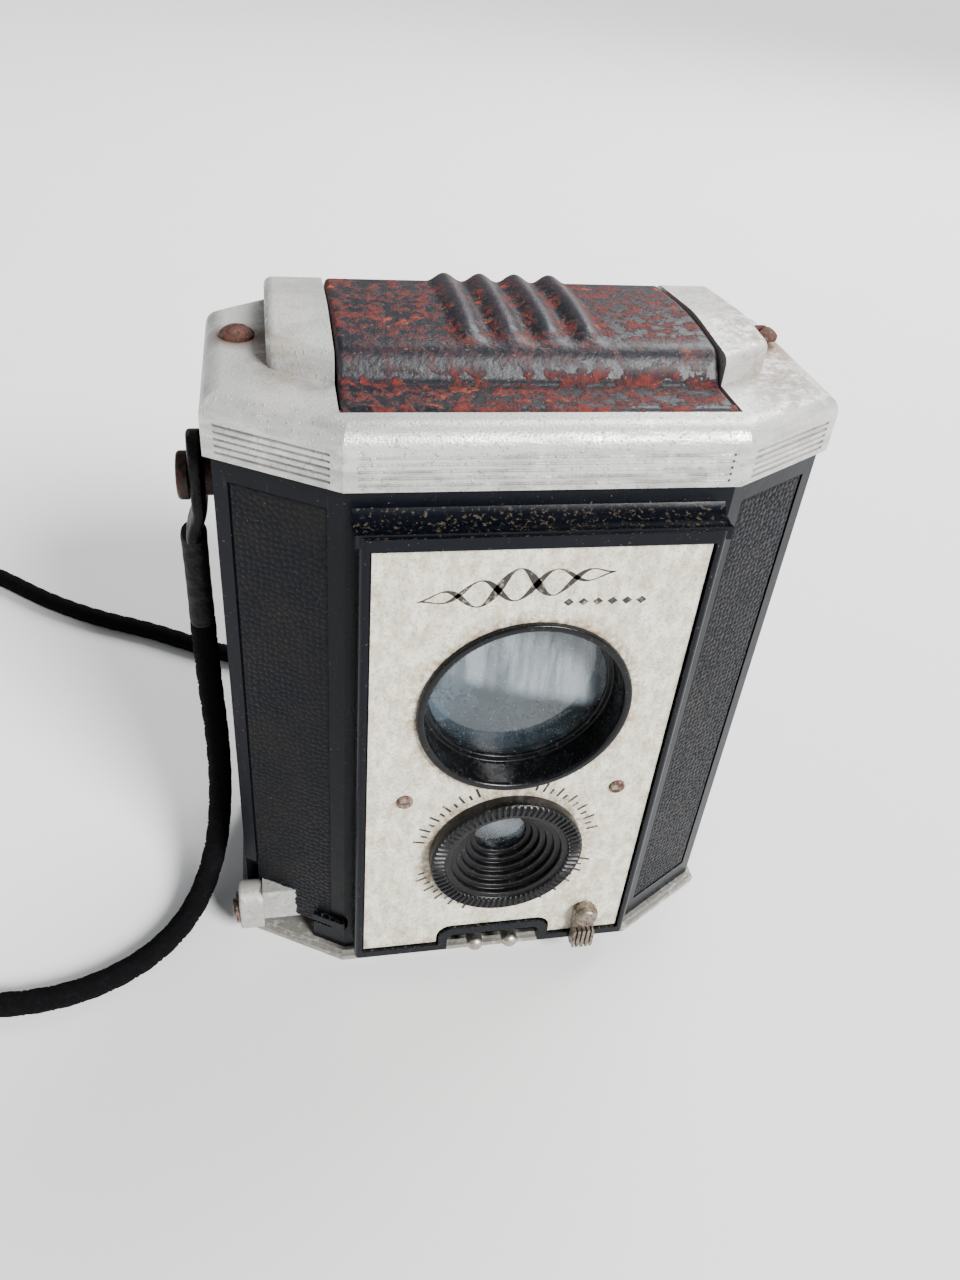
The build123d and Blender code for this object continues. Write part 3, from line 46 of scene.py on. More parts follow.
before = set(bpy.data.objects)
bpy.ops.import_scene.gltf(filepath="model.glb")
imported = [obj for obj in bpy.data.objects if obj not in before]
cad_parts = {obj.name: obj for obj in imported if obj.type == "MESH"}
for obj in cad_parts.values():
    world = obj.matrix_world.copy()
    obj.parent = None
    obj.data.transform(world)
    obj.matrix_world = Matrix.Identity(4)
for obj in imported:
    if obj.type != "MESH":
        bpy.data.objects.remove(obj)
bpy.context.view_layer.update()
MM = 0.001

# Places read from the frame.
PLATE_LOW = np.array(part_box("faceplate")[0])
RING_LOW, RING_HIGH = (np.array(corner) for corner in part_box("lens_ring"))
BEZEL_LOW, BEZEL_HIGH = (np.array(corner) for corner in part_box("finder_bezel"))
CAP_LOW, CAP_HIGH = (np.array(corner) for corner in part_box("top_cap"))
BACK_LOW, BACK_HIGH = (np.array(corner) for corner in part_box("back_cover"))
PLATE_Y = PLATE_LOW[1]
LENS_Z = (RING_LOW[2] + RING_HIGH[2]) / 2
FINDER_Z = (BEZEL_LOW[2] + BEZEL_HIGH[2]) / 2
RING_R = (RING_HIGH[0] - RING_LOW[0]) / 2
BEZEL_R = (BEZEL_HIGH[0] - BEZEL_LOW[0]) / 2

# Corners of the case's octagon that no box gives, and the sunk panels in its walls.
FRONT_FLAT = 53.2 * MM
BACK_FLAT = 53.0 * MM
SIDE_FRONT = 13.8 * MM
SIDE_BACK = 16.4 * MM
OVERHANG = 1.0 * MM
PANEL_BORDER = 2.8 * MM
PANEL_DEPTH = 0.3 * MM
PANEL_LOW = 6.5 * MM
PANEL_HIGH = 93.5 * MM
COVER_BORDER = 2.8 * MM
WINDOW_RIM = 7.5 * MM

# The hood lid: its line over the top in (y, rise), how far each corner's arc reaches, its
# sheet, its side walls, its four ribs and the curl round its pin.
LID_HALF = 26.35 * MM
LID_TOP = 105.7 * MM
LID_LINE = MM * np.array([(-17.6, 0), (-10.8, 0), (-8.4, 4.0), (3.5, 5.0), (19.6, 3.6),
                          (21.9, 0), (23.9, 0)]) + (0, LID_TOP)
LID_REACH = MM * np.array([0, 0.9, 1.9, 7.5, 1.8, 0.6, 0])
LID_SHEET = 0.9 * MM
LID_EDGE_R = 0.8 * MM
LID_WALL = 1.7 * MM
LID_CURL_R = 1.1 * MM
LID_CURL_BORE = 0.55 * MM
RIB_PITCH = 5.5 * MM
RIB_HEIGHT = 1.2 * MM

# The camera's place in mm, its turns about X, Y and Z in degrees, and its lens in mm.
CAMERA_PLACE = (-34.7307, -136.0021, 161.3518)
CAMERA_TURN = (52.321, -4.711, -10.189)
CAMERA_LENS = 28.654

# Where the neck cord runs: down from the left sleeve, round on the table and up to the right.
CORD_ROUTE = MM * np.array([
    (-47.4, 1.3, 60.0),
    (-47.4, 1.3, 48.5),
    (-46.8, 0.3, 34.0),
    (-47.2, -0.9, 20.5),
    (-48.8, -4.4, 9.6),
    (-52.6, -11.6, 3.1),
    (-58.6, -19.6, 2.1),
    (-67.0, -25.2, 2.1),
    (-77.0, -27.8, 2.1),
    (-88.6, -27.4, 2.1),
    (-101.0, -23.5, 2.1),
    (-113.5, -14.5, 2.1),
    (-124.5, -1.0, 2.1),
    (-133.5, 16.0, 2.1),
    (-140.5, 36.0, 2.1),
    (-145.5, 57.0, 2.1),
    (-147.0, 79.0, 2.1),
    (-142.5, 98.5, 2.1),
    (-131.0, 109.5, 2.1),
    (-117.0, 109.0, 2.1),
    (-105.0, 99.8, 2.1),
    (-92.5, 88.9, 2.1),
    (-79.6, 80.8, 2.1),
    (-67.0, 75.2, 2.1),
    (-54.5, 67.6, 2.1),
    (-40.0, 60.5, 2.1),
    (-22.0, 56.0, 2.1),
    (-3.0, 54.5, 2.1),
    (16.0, 52.5, 2.1),
    (32.0, 46.5, 2.1),
    (44.5, 38.5, 2.1),
    (51.0, 29.5, 2.1),
    (52.8, 19.5, 2.1),
    (52.2, 10.0, 3.1),
    (50.6, 3.2, 8.9),
    (49.0, 0.6, 19.2),
    (47.9, 0.4, 33.0),
    (47.4, 1.3, 47.0),
    (47.4, 1.3, 60.0),
])


def linear(hex_colour, alpha=1.0):
    """Linear colour of an sRGB hex value."""
    channels = np.array([int(hex_colour[i:i + 2], 16) for i in (1, 3, 5)]) / 255
    curve = np.where(channels <= 0.04045, channels / 12.92, ((channels + 0.055) / 1.055) ** 2.4)
    return (*(float(value) for value in curve), alpha)


# ---------------------------------------------------------------- settings
class TlrSizes(bpy.types.PropertyGroup):
    """Sizes that a user may change without moving a CAD part."""

    cord_diameter: FloatProperty(
        name="Cord diameter", description="Width of the braided neck cord",
        default=4.2 * MM, unit="LENGTH")
    braid_pitch: FloatProperty(
        name="Braid pitch", description="Length of cord in which a strand goes once round",
        default=9.0 * MM, unit="LENGTH")
    braid_strands: IntProperty(
        name="Braid strands", description="Strands that turn each way", default=8, min=4)
    grain_pitch: FloatProperty(
        name="Grain pitch", description="Distance between pebbles of the moulded grain",
        default=0.95 * MM, unit="LENGTH")
    grain_depth: FloatProperty(
        name="Grain depth", description="Height of a pebble above its crease",
        default=0.16 * MM, unit="LENGTH")
    knurls: IntProperty(
        name="Knurls", description="Ridges on the face of the lens ring", default=72, min=12)


class TlrColours(bpy.types.PropertyGroup):
    """Base colours of the main finishes."""

    bakelite: FloatVectorProperty(
        name="Bakelite", description="Blue-black of the moulded case", subtype="COLOR",
        size=4, min=0, max=1, default=linear("#03050b"))
    plate: FloatVectorProperty(
        name="Face plate", description="Champagne enamel of the face plate", subtype="COLOR",
        size=4, min=0, max=1, default=linear("#c6c0ae"))
    cap: FloatVectorProperty(
        name="Metal cap", description="Silver grey of the cast cap", subtype="COLOR",
        size=4, min=0, max=1, default=linear("#b9b9b6"))
    hood: FloatVectorProperty(
        name="Hood enamel", description="Blue-black enamel of the hood", subtype="COLOR",
        size=4, min=0, max=1, default=linear("#0b0d14"))


# ---------------------------------------------------------------- materials
def add(tree, kind, inputs=None, **settings):
    """Adds a node, sets its settings, and fills its inputs with values or links."""
    made = tree.nodes.new(kind)
    for key, value in settings.items():
        setattr(made, key, value)
    for key, value in (inputs or {}).items():
        if isinstance(value, bpy.types.NodeSocket):
            tree.links.new(value, made.inputs[key])
        else:
            made.inputs[key].default_value = value
    return made


def patches(tree, place, size, level, soft=0.08, detail=4.0, stretch=(1, 1, 1), shift=0.0):
    """Mask of irregular patches about `size` across, where fractal noise rises above `level`."""
    moved = add(tree, "ShaderNodeMapping", {"Vector": place, "Location": (shift, shift, shift),
                                           "Scale": stretch}).outputs[0]
    noise = add(tree, "ShaderNodeTexNoise", {"Vector": moved, "Scale": 1 / size, "Detail": detail,
                                            "Roughness": 0.6}).outputs[0]
    return add(tree, "ShaderNodeMapRange", {"Value": noise, "From Min": level - soft,
                                           "From Max": level + soft}).outputs[0]


def near(tree, place, centre, inner, outer, stretch=(1, 1, 1)):
    """Mask that is 1 within `inner` of a point and falls to 0 at `outer`."""
    moved = add(tree, "ShaderNodeVectorMath", {0: place, 1: stretch}, operation="MULTIPLY")
    target = tuple(float(c * s) for c, s in zip(centre, stretch))
    gap = add(tree, "ShaderNodeVectorMath", {0: moved.outputs[0], 1: target},
              operation="DISTANCE")
    return add(tree, "ShaderNodeMapRange", {"Value": gap.outputs["Value"], "From Min": outer,
                                           "From Max": inner}).outputs[0]


def between(tree, place, axis, start, end):
    """Mask that rises from 0 at `start` to 1 at `end` along one axis."""
    parts = add(tree, "ShaderNodeSeparateXYZ", {0: place})
    return add(tree, "ShaderNodeMapRange", {"Value": parts.outputs[axis], "From Min": start,
                                           "From Max": end}).outputs[0]


def overlap(tree, *masks):
    """Mask that is the product of the given masks or numbers."""
    total = masks[0]
    for mask in masks[1:]:
        total = add(tree, "ShaderNodeMath", {0: total, 1: mask}, operation="MULTIPLY").outputs[0]
    return total


def coats(tree, base, *layers):
    """Colour of a base under layers, each a mask and a colour, the last on top."""
    colour = base
    for mask, layer in layers:
        colour = add(tree, "ShaderNodeMix", {0: mask, 6: colour, 7: layer},
                     data_type="RGBA").outputs[2]
    return colour


def levels(tree, base, *layers):
    """Number that starts at `base` and goes towards each layer's value where its mask is 1."""
    value = base
    for mask, layer in layers:
        value = add(tree, "ShaderNodeMix", {0: mask, 2: value, 3: layer}).outputs[0]
    return value


def relief(tree, *heights):
    """Normal bent by height maps, each a socket and its depth."""
    normal = None
    for height, depth in heights:
        inputs = {"Height": height, "Distance": depth}
        if normal is not None:
            inputs["Normal"] = normal
        normal = add(tree, "ShaderNodeBump", inputs).outputs[0]
    return normal


def start_material(name):
    """New material with an empty tree, and its object coordinates."""
    material = bpy.data.materials.new(name)
    material.use_nodes = True
    material.node_tree.nodes.clear()
    place = add(material.node_tree, "ShaderNodeTexCoord").outputs["Object"]
    return material, material.node_tree, place


def end_material(tree, **sockets):
    """Principled shader with the given sockets, joined to the output."""
    inputs = {key.replace("_", " "): value for key, value in sockets.items()}
    shader = add(tree, "ShaderNodeBsdfPrincipled", inputs)
    add(tree, "ShaderNodeOutputMaterial", {"Surface": shader.outputs[0]})


def upward(tree):
    """Mask of surfaces that face up, where dust settles."""
    normal = add(tree, "ShaderNodeNewGeometry").outputs["Normal"]
    parts = add(tree, "ShaderNodeSeparateXYZ", {0: normal})
    return add(tree, "ShaderNodeMapRange", {"Value": parts.outputs[2], "From Min": 0.25,
                                           "From Max": 0.9}).outputs[0]


def polished_bakelite(colour):
    """Phenolic moulding, pressed in a polished mould: deep gloss under a thin film of dust."""
    material, tree, place = start_material("Polished bakelite")
    film = patches(tree, place, 9 * MM, 0.5, 0.25)
    specks = patches(tree, place, 0.55 * MM, 0.71, 0.02, detail=2)
    settled = overlap(tree, upward(tree), patches(tree, place, 0.6 * MM, 0.62, 0.06, detail=6))
    scuffs = patches(tree, place, 1.2 * MM, 0.68, 0.04, stretch=(1, 1, 0.12), shift=0.3)
    paint = coats(tree, colour,
                  (overlap(tree, film, 0.006), linear("#5b5f6a")),
                  (overlap(tree, scuffs, 0.03), linear("#8b8c90")),
                  (overlap(tree, specks, 0.12), linear("#a7a294")),
                  (overlap(tree, settled, 0.28), linear("#857457")))
    rough = levels(tree, 0.22, (film, 0.32), (settled, 0.75), (specks, 0.9))
    wave = add(tree, "ShaderNodeTexNoise", {"Vector": place, "Scale": 160.0}).outputs[0]
    grit = add(tree, "ShaderNodeTexNoise", {"Vector": place, "Scale": 1800.0}).outputs[0]
    end_material(tree, Base_Color=paint, Roughness=rough, IOR=1.45, Specular_IOR_Level=0.16,
                 Normal=relief(tree, (wave, 0.10 * MM), (grit, 0.01 * MM)))
    return material


def grained_bakelite(colour):
    """The same moulding where the mould was etched as leather: satin pebbles, dust in creases."""
    material, tree, place = start_material("Leather-grained bakelite")
    height = add(tree, "ShaderNodeAttribute", attribute_name="relief").outputs["Fac"]
    crease = add(tree, "ShaderNodeMapRange", {"Value": height, "From Min": 0.55,
                                             "From Max": 0.1}).outputs[0]
    dusty = patches(tree, place, 16 * MM, 0.5, 0.2)
    brown = patches(tree, place, 7 * MM, 0.56, 0.12, shift=0.2)
    specks = patches(tree, place, 0.5 * MM, 0.72, 0.02, detail=2, shift=0.7)
    paint = coats(tree, colour,
                  (overlap(tree, crease, levels(tree, 0.005, (dusty, 0.03))), linear("#6b6558")),
                  (overlap(tree, brown, 0.05), linear("#4a3a26")),
                  (overlap(tree, specks, 0.12), linear("#a49e90")))
    fine = add(tree, "ShaderNodeTexNoise", {"Vector": place, "Scale": 5200.0}).outputs[0]
    end_material(tree, Base_Color=paint, IOR=1.45, Specular_IOR_Level=0.16,
                 Roughness=levels(tree, 0.34, (crease, 0.75), (specks, 0.9)),
                 Normal=relief(tree, (fine, 0.02 * MM)))
    return material


def aged_cap_aluminium(colour):
    """Die-cast and painted aluminium: chalky silver with fine pits and brown grime in corners."""
    material, tree, place = start_material("Aged matt aluminium")
    cloud = patches(tree, place, 13 * MM, 0.5, 0.3)
    pits = patches(tree, place, 0.55 * MM, 0.66, 0.04, detail=2)
    streaks = patches(tree, place, 2.2 * MM, 0.56, 0.1, stretch=(0.25, 0.25, 1.6))
    rubbed = patches(tree, place, 3.0 * MM, 0.6, 0.05, shift=0.4)
    broken = patches(tree, place, 1.7 * MM, 0.47, 0.1, shift=0.9)
    top = CAP_LOW[2] + 8.5 * MM
    left = near(tree, place, (-33 * MM, -1 * MM, top), 3 * MM, 10 * MM, (1.6, 0.45, 1))
    right = near(tree, place, (36 * MM, 0, top), 5 * MM, 14 * MM, (1.2, 0.5, 1))
    grime = overlap(tree, broken, add(tree, "ShaderNodeMath", {0: left, 1: right},
                                      operation="MAXIMUM").outputs[0])
    around = add(tree, "ShaderNodeMath", {
        0: near(tree, place, (-39.2 * MM, 5.3 * MM, top), 2.4 * MM, 5.2 * MM),
        1: near(tree, place, (39.2 * MM, 5.3 * MM, top), 2.6 * MM, 7.5 * MM)},
        operation="MAXIMUM").outputs[0]
    low_band = overlap(tree, between(tree, place, 2, CAP_LOW[2] + 2.4 * MM, CAP_LOW[2]),
                       patches(tree, place, 2.5 * MM, 0.5, 0.15, shift=0.6))
    paint = coats(tree, colour,
                  (overlap(tree, cloud, 0.3), linear("#c9c9c6")),
                  (overlap(tree, streaks, 0.55), linear("#848380")),
                  (overlap(tree, rubbed, 0.35), linear("#dcdbd7")),
                  (overlap(tree, low_band, 0.45), linear("#77746c")),
                  (overlap(tree, grime, 0.62), linear("#6f5a40")),
                  (overlap(tree, around, 0.75), linear("#6b4a2f")),
                  (overlap(tree, pits, 0.3), linear("#6f6b64")))
    grain = add(tree, "ShaderNodeTexNoise", {"Vector": place, "Scale": 2600.0}).outputs[0]
    end_material(tree, Base_Color=paint, Metallic=levels(tree, 0.55, (grime, 0.0)),
                 Roughness=levels(tree, 0.42, (grime, 0.85), (rubbed, 0.32), (streaks, 0.52)),
                 Normal=relief(tree, (grain, 0.07 * MM), (pits, 0.08 * MM),
                               (streaks, 0.03 * MM)))
    return material


def rusted_hood_enamel(colour):
    """Stoved enamel on thin steel: blue-black where it holds, on the shoulder and the ribs, and
    a fine red-brown rust where it has flaked, with a rare orange bloom. The rib crowns are
    painted a lighter grey as a painted highlight."""
    material, tree, place = start_material("Rusted stoved enamel")
    rib = add(tree, "ShaderNodeAttribute", attribute_name="relief").outputs["Fac"]
    crown = add(tree, "ShaderNodeMapRange", {"Value": rib, "From Min": 0.35,
                                            "From Max": 0.8}).outputs[0]
    flakes = patches(tree, place, 2.4 * MM, 0.51, 0.04, detail=9)
    red = patches(tree, place, 1.3 * MM, 0.5, 0.08, detail=6, shift=0.35)
    orange = patches(tree, place, 4.2 * MM, 0.63, 0.04, detail=8, shift=0.8)
    shoulder = overlap(tree, between(tree, place, 1, -4.0 * MM, -6.5 * MM),
                       between(tree, place, 2, 106.4 * MM, 107.6 * MM))
    kept = add(tree, "ShaderNodeMath", {0: shoulder, 1: crown}, operation="MAXIMUM").outputs[0]
    rust = overlap(tree, flakes, levels(tree, 1.0, (kept, 0.22)))
    specks = patches(tree, place, 0.5 * MM, 0.68, 0.03, detail=2, shift=0.1)
    paint = coats(tree, colour,
                  (overlap(tree, patches(tree, place, 1.1 * MM, 0.5, 0.15), 0.25),
                   linear("#2e262b")),
                  (rust, linear("#2f1516")),
                  (overlap(tree, rust, red), linear("#561c16")),
                  (overlap(tree, rust, orange), linear("#8e3f1e")),
                  # painted highlight: the rib crowns are painted a lighter grey
                  (overlap(tree, crown, 0.35), linear("#37373d")),
                  (overlap(tree, specks, 0.3), linear("#7d746a")))
    grit = add(tree, "ShaderNodeTexNoise", {"Vector": place, "Scale": 1500.0,
                                           "Detail": 5.0}).outputs[0]
    end_material(tree, Base_Color=paint,
                 Roughness=levels(tree, 0.42, (rust, 0.78)), Specular_IOR_Level=0.25,
                 Normal=relief(tree, (grit, levels(tree, 0.08 * MM, (rust, 0.26 * MM))),
                               (rust, 0.10 * MM)))
    return material


def champagne_enamel(colour):
    """Speckled enamel on sheet: cream with grey-green grit, tea-brown stains round the lenses."""
    material, tree, place = start_material("Speckled champagne enamel")
    coarse = patches(tree, place, 0.9 * MM, 0.5, 0.1, detail=4, stretch=(1, 1, 0.7))
    fine = patches(tree, place, 0.4 * MM, 0.58, 0.05, detail=2, shift=0.5)
    pale = patches(tree, place, 1.6 * MM, 0.52, 0.1, detail=4, stretch=(1, 1, 0.45), shift=0.25)
    cloud = patches(tree, place, 6.0 * MM, 0.5, 0.2, shift=0.45)
    tan = patches(tree, place, 2.4 * MM, 0.6, 0.06, detail=6, shift=0.65)
    by_lens = near(tree, place, (0, PLATE_Y, LENS_Z), RING_R + 0.3 * MM, RING_R + 3.5 * MM)
    by_finder = near(tree, place, (0, PLATE_Y, FINDER_Z), BEZEL_R + 0.2 * MM, BEZEL_R + 2.2 * MM)
    close = add(tree, "ShaderNodeMath", {0: by_lens, 1: by_finder}, operation="MAXIMUM").outputs[0]
    stain = overlap(tree, close, patches(tree, place, 1.0 * MM, 0.5, 0.1, detail=6, shift=0.9))
    low = between(tree, place, 2, PLATE_LOW[2] + 6 * MM, PLATE_LOW[2])
    paint = coats(tree, colour,
                  (overlap(tree, cloud, 0.35), linear("#b9b39f")),
                  (overlap(tree, coarse, 0.55), linear("#9c9680")),
                  (overlap(tree, pale, 0.7), linear("#e3dfd0")),
                  (overlap(tree, fine, 0.5), linear("#7c7868")),
                  (overlap(tree, tan, 0.35), linear("#a08a68")),
                  (overlap(tree, stain, 0.7), linear("#6f4c2e")),
                  (overlap(tree, low, tan, 0.6), linear("#6d4e30")))
    grit = add(tree, "ShaderNodeTexNoise", {"Vector": place, "Scale": 2300.0,
                                           "Detail": 3.0}).outputs[0]
    end_material(tree, Base_Color=paint, Metallic=0.2,
                 Roughness=levels(tree, 0.4, (coarse, 0.52), (stain, 0.7)),
                 Normal=relief(tree, (grit, 0.06 * MM)))
    return material


def worn_black(name, colour, rough, dust):
    """Black enamel or plastic: even satin, grey where rubbed, pale dust on what faces up."""
    material, tree, place = start_material(name)
    worn = patches(tree, place, 2.2 * MM, 0.6, 0.06)
    settled = overlap(tree, upward(tree), dust,
                      patches(tree, place, 0.7 * MM, 0.6, 0.07, detail=6))
    specks = patches(tree, place, 0.45 * MM, 0.68, 0.03, detail=2, shift=0.4)
    paint = coats(tree, linear(colour),
                  (overlap(tree, worn, 0.02), linear("#4b4c50")),
                  (overlap(tree, settled, 0.4), linear("#6d6252")),
                  (overlap(tree, specks, dust), linear("#a89f90")))
    fine = add(tree, "ShaderNodeTexNoise", {"Vector": place, "Scale": 1400.0}).outputs[0]
    end_material(tree, Base_Color=paint, Specular_IOR_Level=0.2,
                 Roughness=levels(tree, rough, (worn, rough + 0.12), (settled, 0.9)),
                 Normal=relief(tree, (fine, 0.03 * MM)))
    return material


def cast_metal(name, base, mottle):
    """Rough-cast aluminium that was never polished: mottled grey, dark in its pores."""
    material, tree, place = start_material(name)
    blotch = patches(tree, place, 3.4 * MM, 0.5, 0.16, detail=5)
    pores = patches(tree, place, 0.8 * MM, 0.62, 0.05, detail=4, shift=0.3)
    bright = patches(tree, place, 1.6 * MM, 0.6, 0.05, shift=0.7)
    paint = coats(tree, linear(base),
                  (overlap(tree, blotch, mottle), linear("#67635c")),
                  (overlap(tree, pores, mottle), linear("#453e36")),
                  (overlap(tree, bright, 0.4), linear("#c9c8c2")))
    grit = add(tree, "ShaderNodeTexNoise", {"Vector": place, "Scale": 1600.0,
                                           "Detail": 4.0}).outputs[0]
    end_material(tree, Base_Color=paint, Metallic=0.5,
                 Roughness=levels(tree, 0.42, (blotch, 0.55), (pores, 0.8)),
                 Normal=relief(tree, (grit, 0.08 * MM), (pores, 0.05 * MM)))
    return material


def rusted_steel(name, base, rust_level):
    """Plain steel that has rusted: brown scale in patches over dull grey metal."""
    material, tree, place = start_material(name)
    scale = patches(tree, place, 1.1 * MM, rust_level, 0.08, detail=6)
    deep = patches(tree, place, 0.6 * MM, 0.55, 0.08, detail=4, shift=0.6)
    paint = coats(tree, linear(base),
                  (scale, linear("#341d14")),
                  (overlap(tree, scale, deep), linear("#52281a")))
    grit = add(tree, "ShaderNodeTexNoise", {"Vector": place, "Scale": 2600.0,
                                           "Detail": 5.0}).outputs[0]
    end_material(tree, Base_Color=paint, Metallic=levels(tree, 0.9, (scale, 0.1)),
                 Roughness=levels(tree, 0.38, (scale, 0.85)),
                 Normal=relief(tree, (grit, levels(tree, 0.02 * MM, (scale, 0.14 * MM)))))
    return material


def worn_nickel():
    """Nickel plate worn through on brass: warm soft shine with dull brown spots."""
    material, tree, place = start_material("Worn nickel on brass")
    through = patches(tree, place, 1.0 * MM, 0.5, 0.12, detail=4)
    spots = patches(tree, place, 0.5 * MM, 0.62, 0.06, shift=0.3)
    paint = coats(tree, linear("#a9a7a0"),
                  (overlap(tree, through, 0.4), linear("#85765a")),
                  (overlap(tree, spots, 0.8), linear("#5a4632")))
    grit = add(tree, "ShaderNodeTexNoise", {"Vector": place, "Scale": 3000.0}).outputs[0]
    end_material(tree, Base_Color=paint, Metallic=1.0,
                 Roughness=levels(tree, 0.32, (through, 0.45), (spots, 0.8)),
                 Normal=relief(tree, (grit, 0.02 * MM)))
    return material


def dust_and_painted_light_glass(name, film, centre):
    """Crown glass, pressed and polished. Its upper right holds a bright wiped film of dust in
    upright streaks, brightened further as a painted lit area, and its lower left is clear and
    dark, in painted shade, with a slanted painted shadow edge between them."""
    material, tree, place = start_material(name)
    parts = add(tree, "ShaderNodeSeparateXYZ", {0: place})
    slanted = add(tree, "ShaderNodeMath", {0: parts.outputs[0], 1: 0.30, 2: parts.outputs[2]},
                  operation="MULTIPLY_ADD").outputs[0]
    # painted light: this mask brightens the upper right as a painted lit area above a slanted
    # painted shadow edge
    high = add(tree, "ShaderNodeMapRange", {"Value": slanted, "From Min": centre - 1.2 * MM,
                                           "From Max": centre + 1.4 * MM}).outputs[0]
    streaks = patches(tree, place, 2.4 * MM, 0.5, 0.12, stretch=(1, 1, 0.16))
    wisps = patches(tree, place, 1.0 * MM, 0.56, 0.06, detail=6, stretch=(1, 1, 0.5), shift=0.5)
    specks = patches(tree, place, 0.3 * MM, 0.76, 0.02, detail=1, shift=0.8)
    # the film mixes real wisps of dust with the painted lit area and its streaks
    dust = overlap(tree, levels(tree, 0.02, (wisps, 0.05), (high, 0.14),
                                (overlap(tree, high, streaks), 0.42)), film)
    clear = levels(tree, 1.0, (dust, 0.0), (overlap(tree, specks, 0.6), 0.0))
    # the pale film colour and the lost transmission show both dust and the painted lit area
    end_material(tree, Base_Color=coats(tree, linear("#93a1aa"), (dust, linear("#b9bdbd"))),
                 Roughness=levels(tree, 0.02, (dust, 0.4), (specks, 0.9)), IOR=1.52,
                 Transmission_Weight=clear)
    return material


def tarnished_mirror():
    """Silvered glass, aged: bright with a milky bloom and dark foxing."""
    material, tree, place = start_material("Tarnished silvered mirror")
    bloom = patches(tree, place, 6 * MM, 0.5, 0.2)
    foxing = patches(tree, place, 1.4 * MM, 0.64, 0.04, detail=5, shift=0.3)
    paint = coats(tree, linear("#9aa1a6"), (overlap(tree, bloom, 0.5), linear("#6f7477")),
                  (foxing, linear("#3b332c")))
    fine = add(tree, "ShaderNodeTexNoise", {"Vector": place, "Scale": 900.0}).outputs[0]
    end_material(tree, Base_Color=paint, Metallic=levels(tree, 0.95, (bloom, 0.55)),
                 Roughness=levels(tree, 0.08, (bloom, 0.4), (foxing, 0.8)),
                 Normal=relief(tree, (fine, 0.005 * MM)))
    return material


def frosted_glass(name, tint, rough):
    """Flat glass or celluloid: slightly frosted, scratched and dusty."""
    material, tree, place = start_material(name)
    scratches = patches(tree, place, 1.0 * MM, 0.64, 0.02, stretch=(0.1, 1.4, 1))
    dust = patches(tree, place, 2.5 * MM, 0.55, 0.12, shift=0.4)
    end_material(tree, Base_Color=coats(tree, linear(tint), (overlap(tree, dust, 0.3),
                                                             linear("#bfb9ac"))),
                 Roughness=levels(tree, rough, (scratches, 0.6), (dust, rough + 0.3)), IOR=1.5,
                 Transmission_Weight=levels(tree, 0.95, (overlap(tree, dust, 0.4), 0.3)))
    return material


def creased_leather():
    """Thin black strap leather: creased, brown where the dye has rubbed off its edges."""
    material, tree, place = start_material("Creased black strap leather")
    worn = patches(tree, place, 1.6 * MM, 0.56, 0.08, detail=5)
    pores = add(tree, "ShaderNodeTexVoronoi", {"Vector": place, "Scale": 1700.0},
                feature="DISTANCE_TO_EDGE").outputs[0]
    paint = coats(tree, linear("#040406"), (overlap(tree, worn, 0.12), linear("#3a3029")))
    end_material(tree, Base_Color=paint, Roughness=levels(tree, 0.5, (worn, 0.75)),
                 Specular_IOR_Level=0.2,
                 Normal=relief(tree, (pores, 0.12 * MM)))
    return material


def braided_cotton():
    """Waxed black cotton braid: matt strands, with painted shade between them, and a grey bloom of
    lint.
    """
    material, tree, place = start_material("Braided black cotton")
    height = add(tree, "ShaderNodeAttribute", attribute_name="relief").outputs["Fac"]
    gap = add(tree, "ShaderNodeMapRange", {"Value": height, "From Min": 0.5,
                                          "From Max": 0.0}).outputs[0]
    lint = patches(tree, place, 1.1 * MM, 0.6, 0.1, detail=5)
    paint = coats(tree, linear("#020203"),
                  # painted shade: the gaps between strands are painted darker
                  (overlap(tree, gap, 0.9), linear("#010101")),
                  (overlap(tree, lint, 0.08), linear("#2c2d36")))
    threads = add(tree, "ShaderNodeTexNoise", {"Vector": place, "Scale": 6500.0,
                                              "Detail": 4.0}).outputs[0]
    end_material(tree, Base_Color=paint, Roughness=0.9, Specular_IOR_Level=0.1,
                 Normal=relief(tree, (threads, 0.12 * MM)))
    return material


def cord_sleeve_hide():
    """Glued hide sleeve: dark grey-brown, cracked and scuffed."""
    material, tree, place = start_material("Scuffed hide sleeve")
    scuff = patches(tree, place, 1.3 * MM, 0.52, 0.1, detail=6)
    crack = add(tree, "ShaderNodeTexVoronoi", {"Vector": place, "Scale": 900.0},
                feature="DISTANCE_TO_EDGE").outputs[0]
    paint = coats(tree, linear("#0a0a0b"), (overlap(tree, scuff, 0.5), linear("#33312e")))
    end_material(tree, Base_Color=paint, Roughness=0.75, Specular_IOR_Level=0.25,
                 Normal=relief(tree, (crack, 0.15 * MM), (scuff, 0.1 * MM)))
    return material


def printing_ink():
    """Screened black ink on enamel: flat black, thinned in places."""
    material, tree, place = start_material("Screened black ink")
    thin = patches(tree, place, 0.7 * MM, 0.62, 0.08, detail=4)
    end_material(tree, Base_Color=coats(tree, linear("#16130f"),
                                        (overlap(tree, thin, 0.8), linear("#8e836f"))),
                 Roughness=levels(tree, 0.5, (thin, 0.6)),
                 Normal=relief(tree, (thin, 0.01 * MM)))
    return material


def pale_table():
    """Matt laminate of the table: plain, pale and even."""
    material, tree, place = start_material("Matt pale laminate")
    soft = patches(tree, place, 60 * MM, 0.5, 0.4)
    end_material(tree, Base_Color=coats(tree, linear("#dcdcdb"),
                                        (overlap(tree, soft, 0.3), linear("#d2d2d2"))),
                 Roughness=0.8)
    return material


# ---------------------------------------------------------------- meshes
def make_object(name, mesh, material, body):
    """Object at the origin that holds a mesh and rides on a body."""
    piece = bpy.data.objects.new(name, mesh)
    bpy.context.scene.collection.objects.link(piece)
    mesh.materials.append(material)
    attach(piece, body)
    return piece


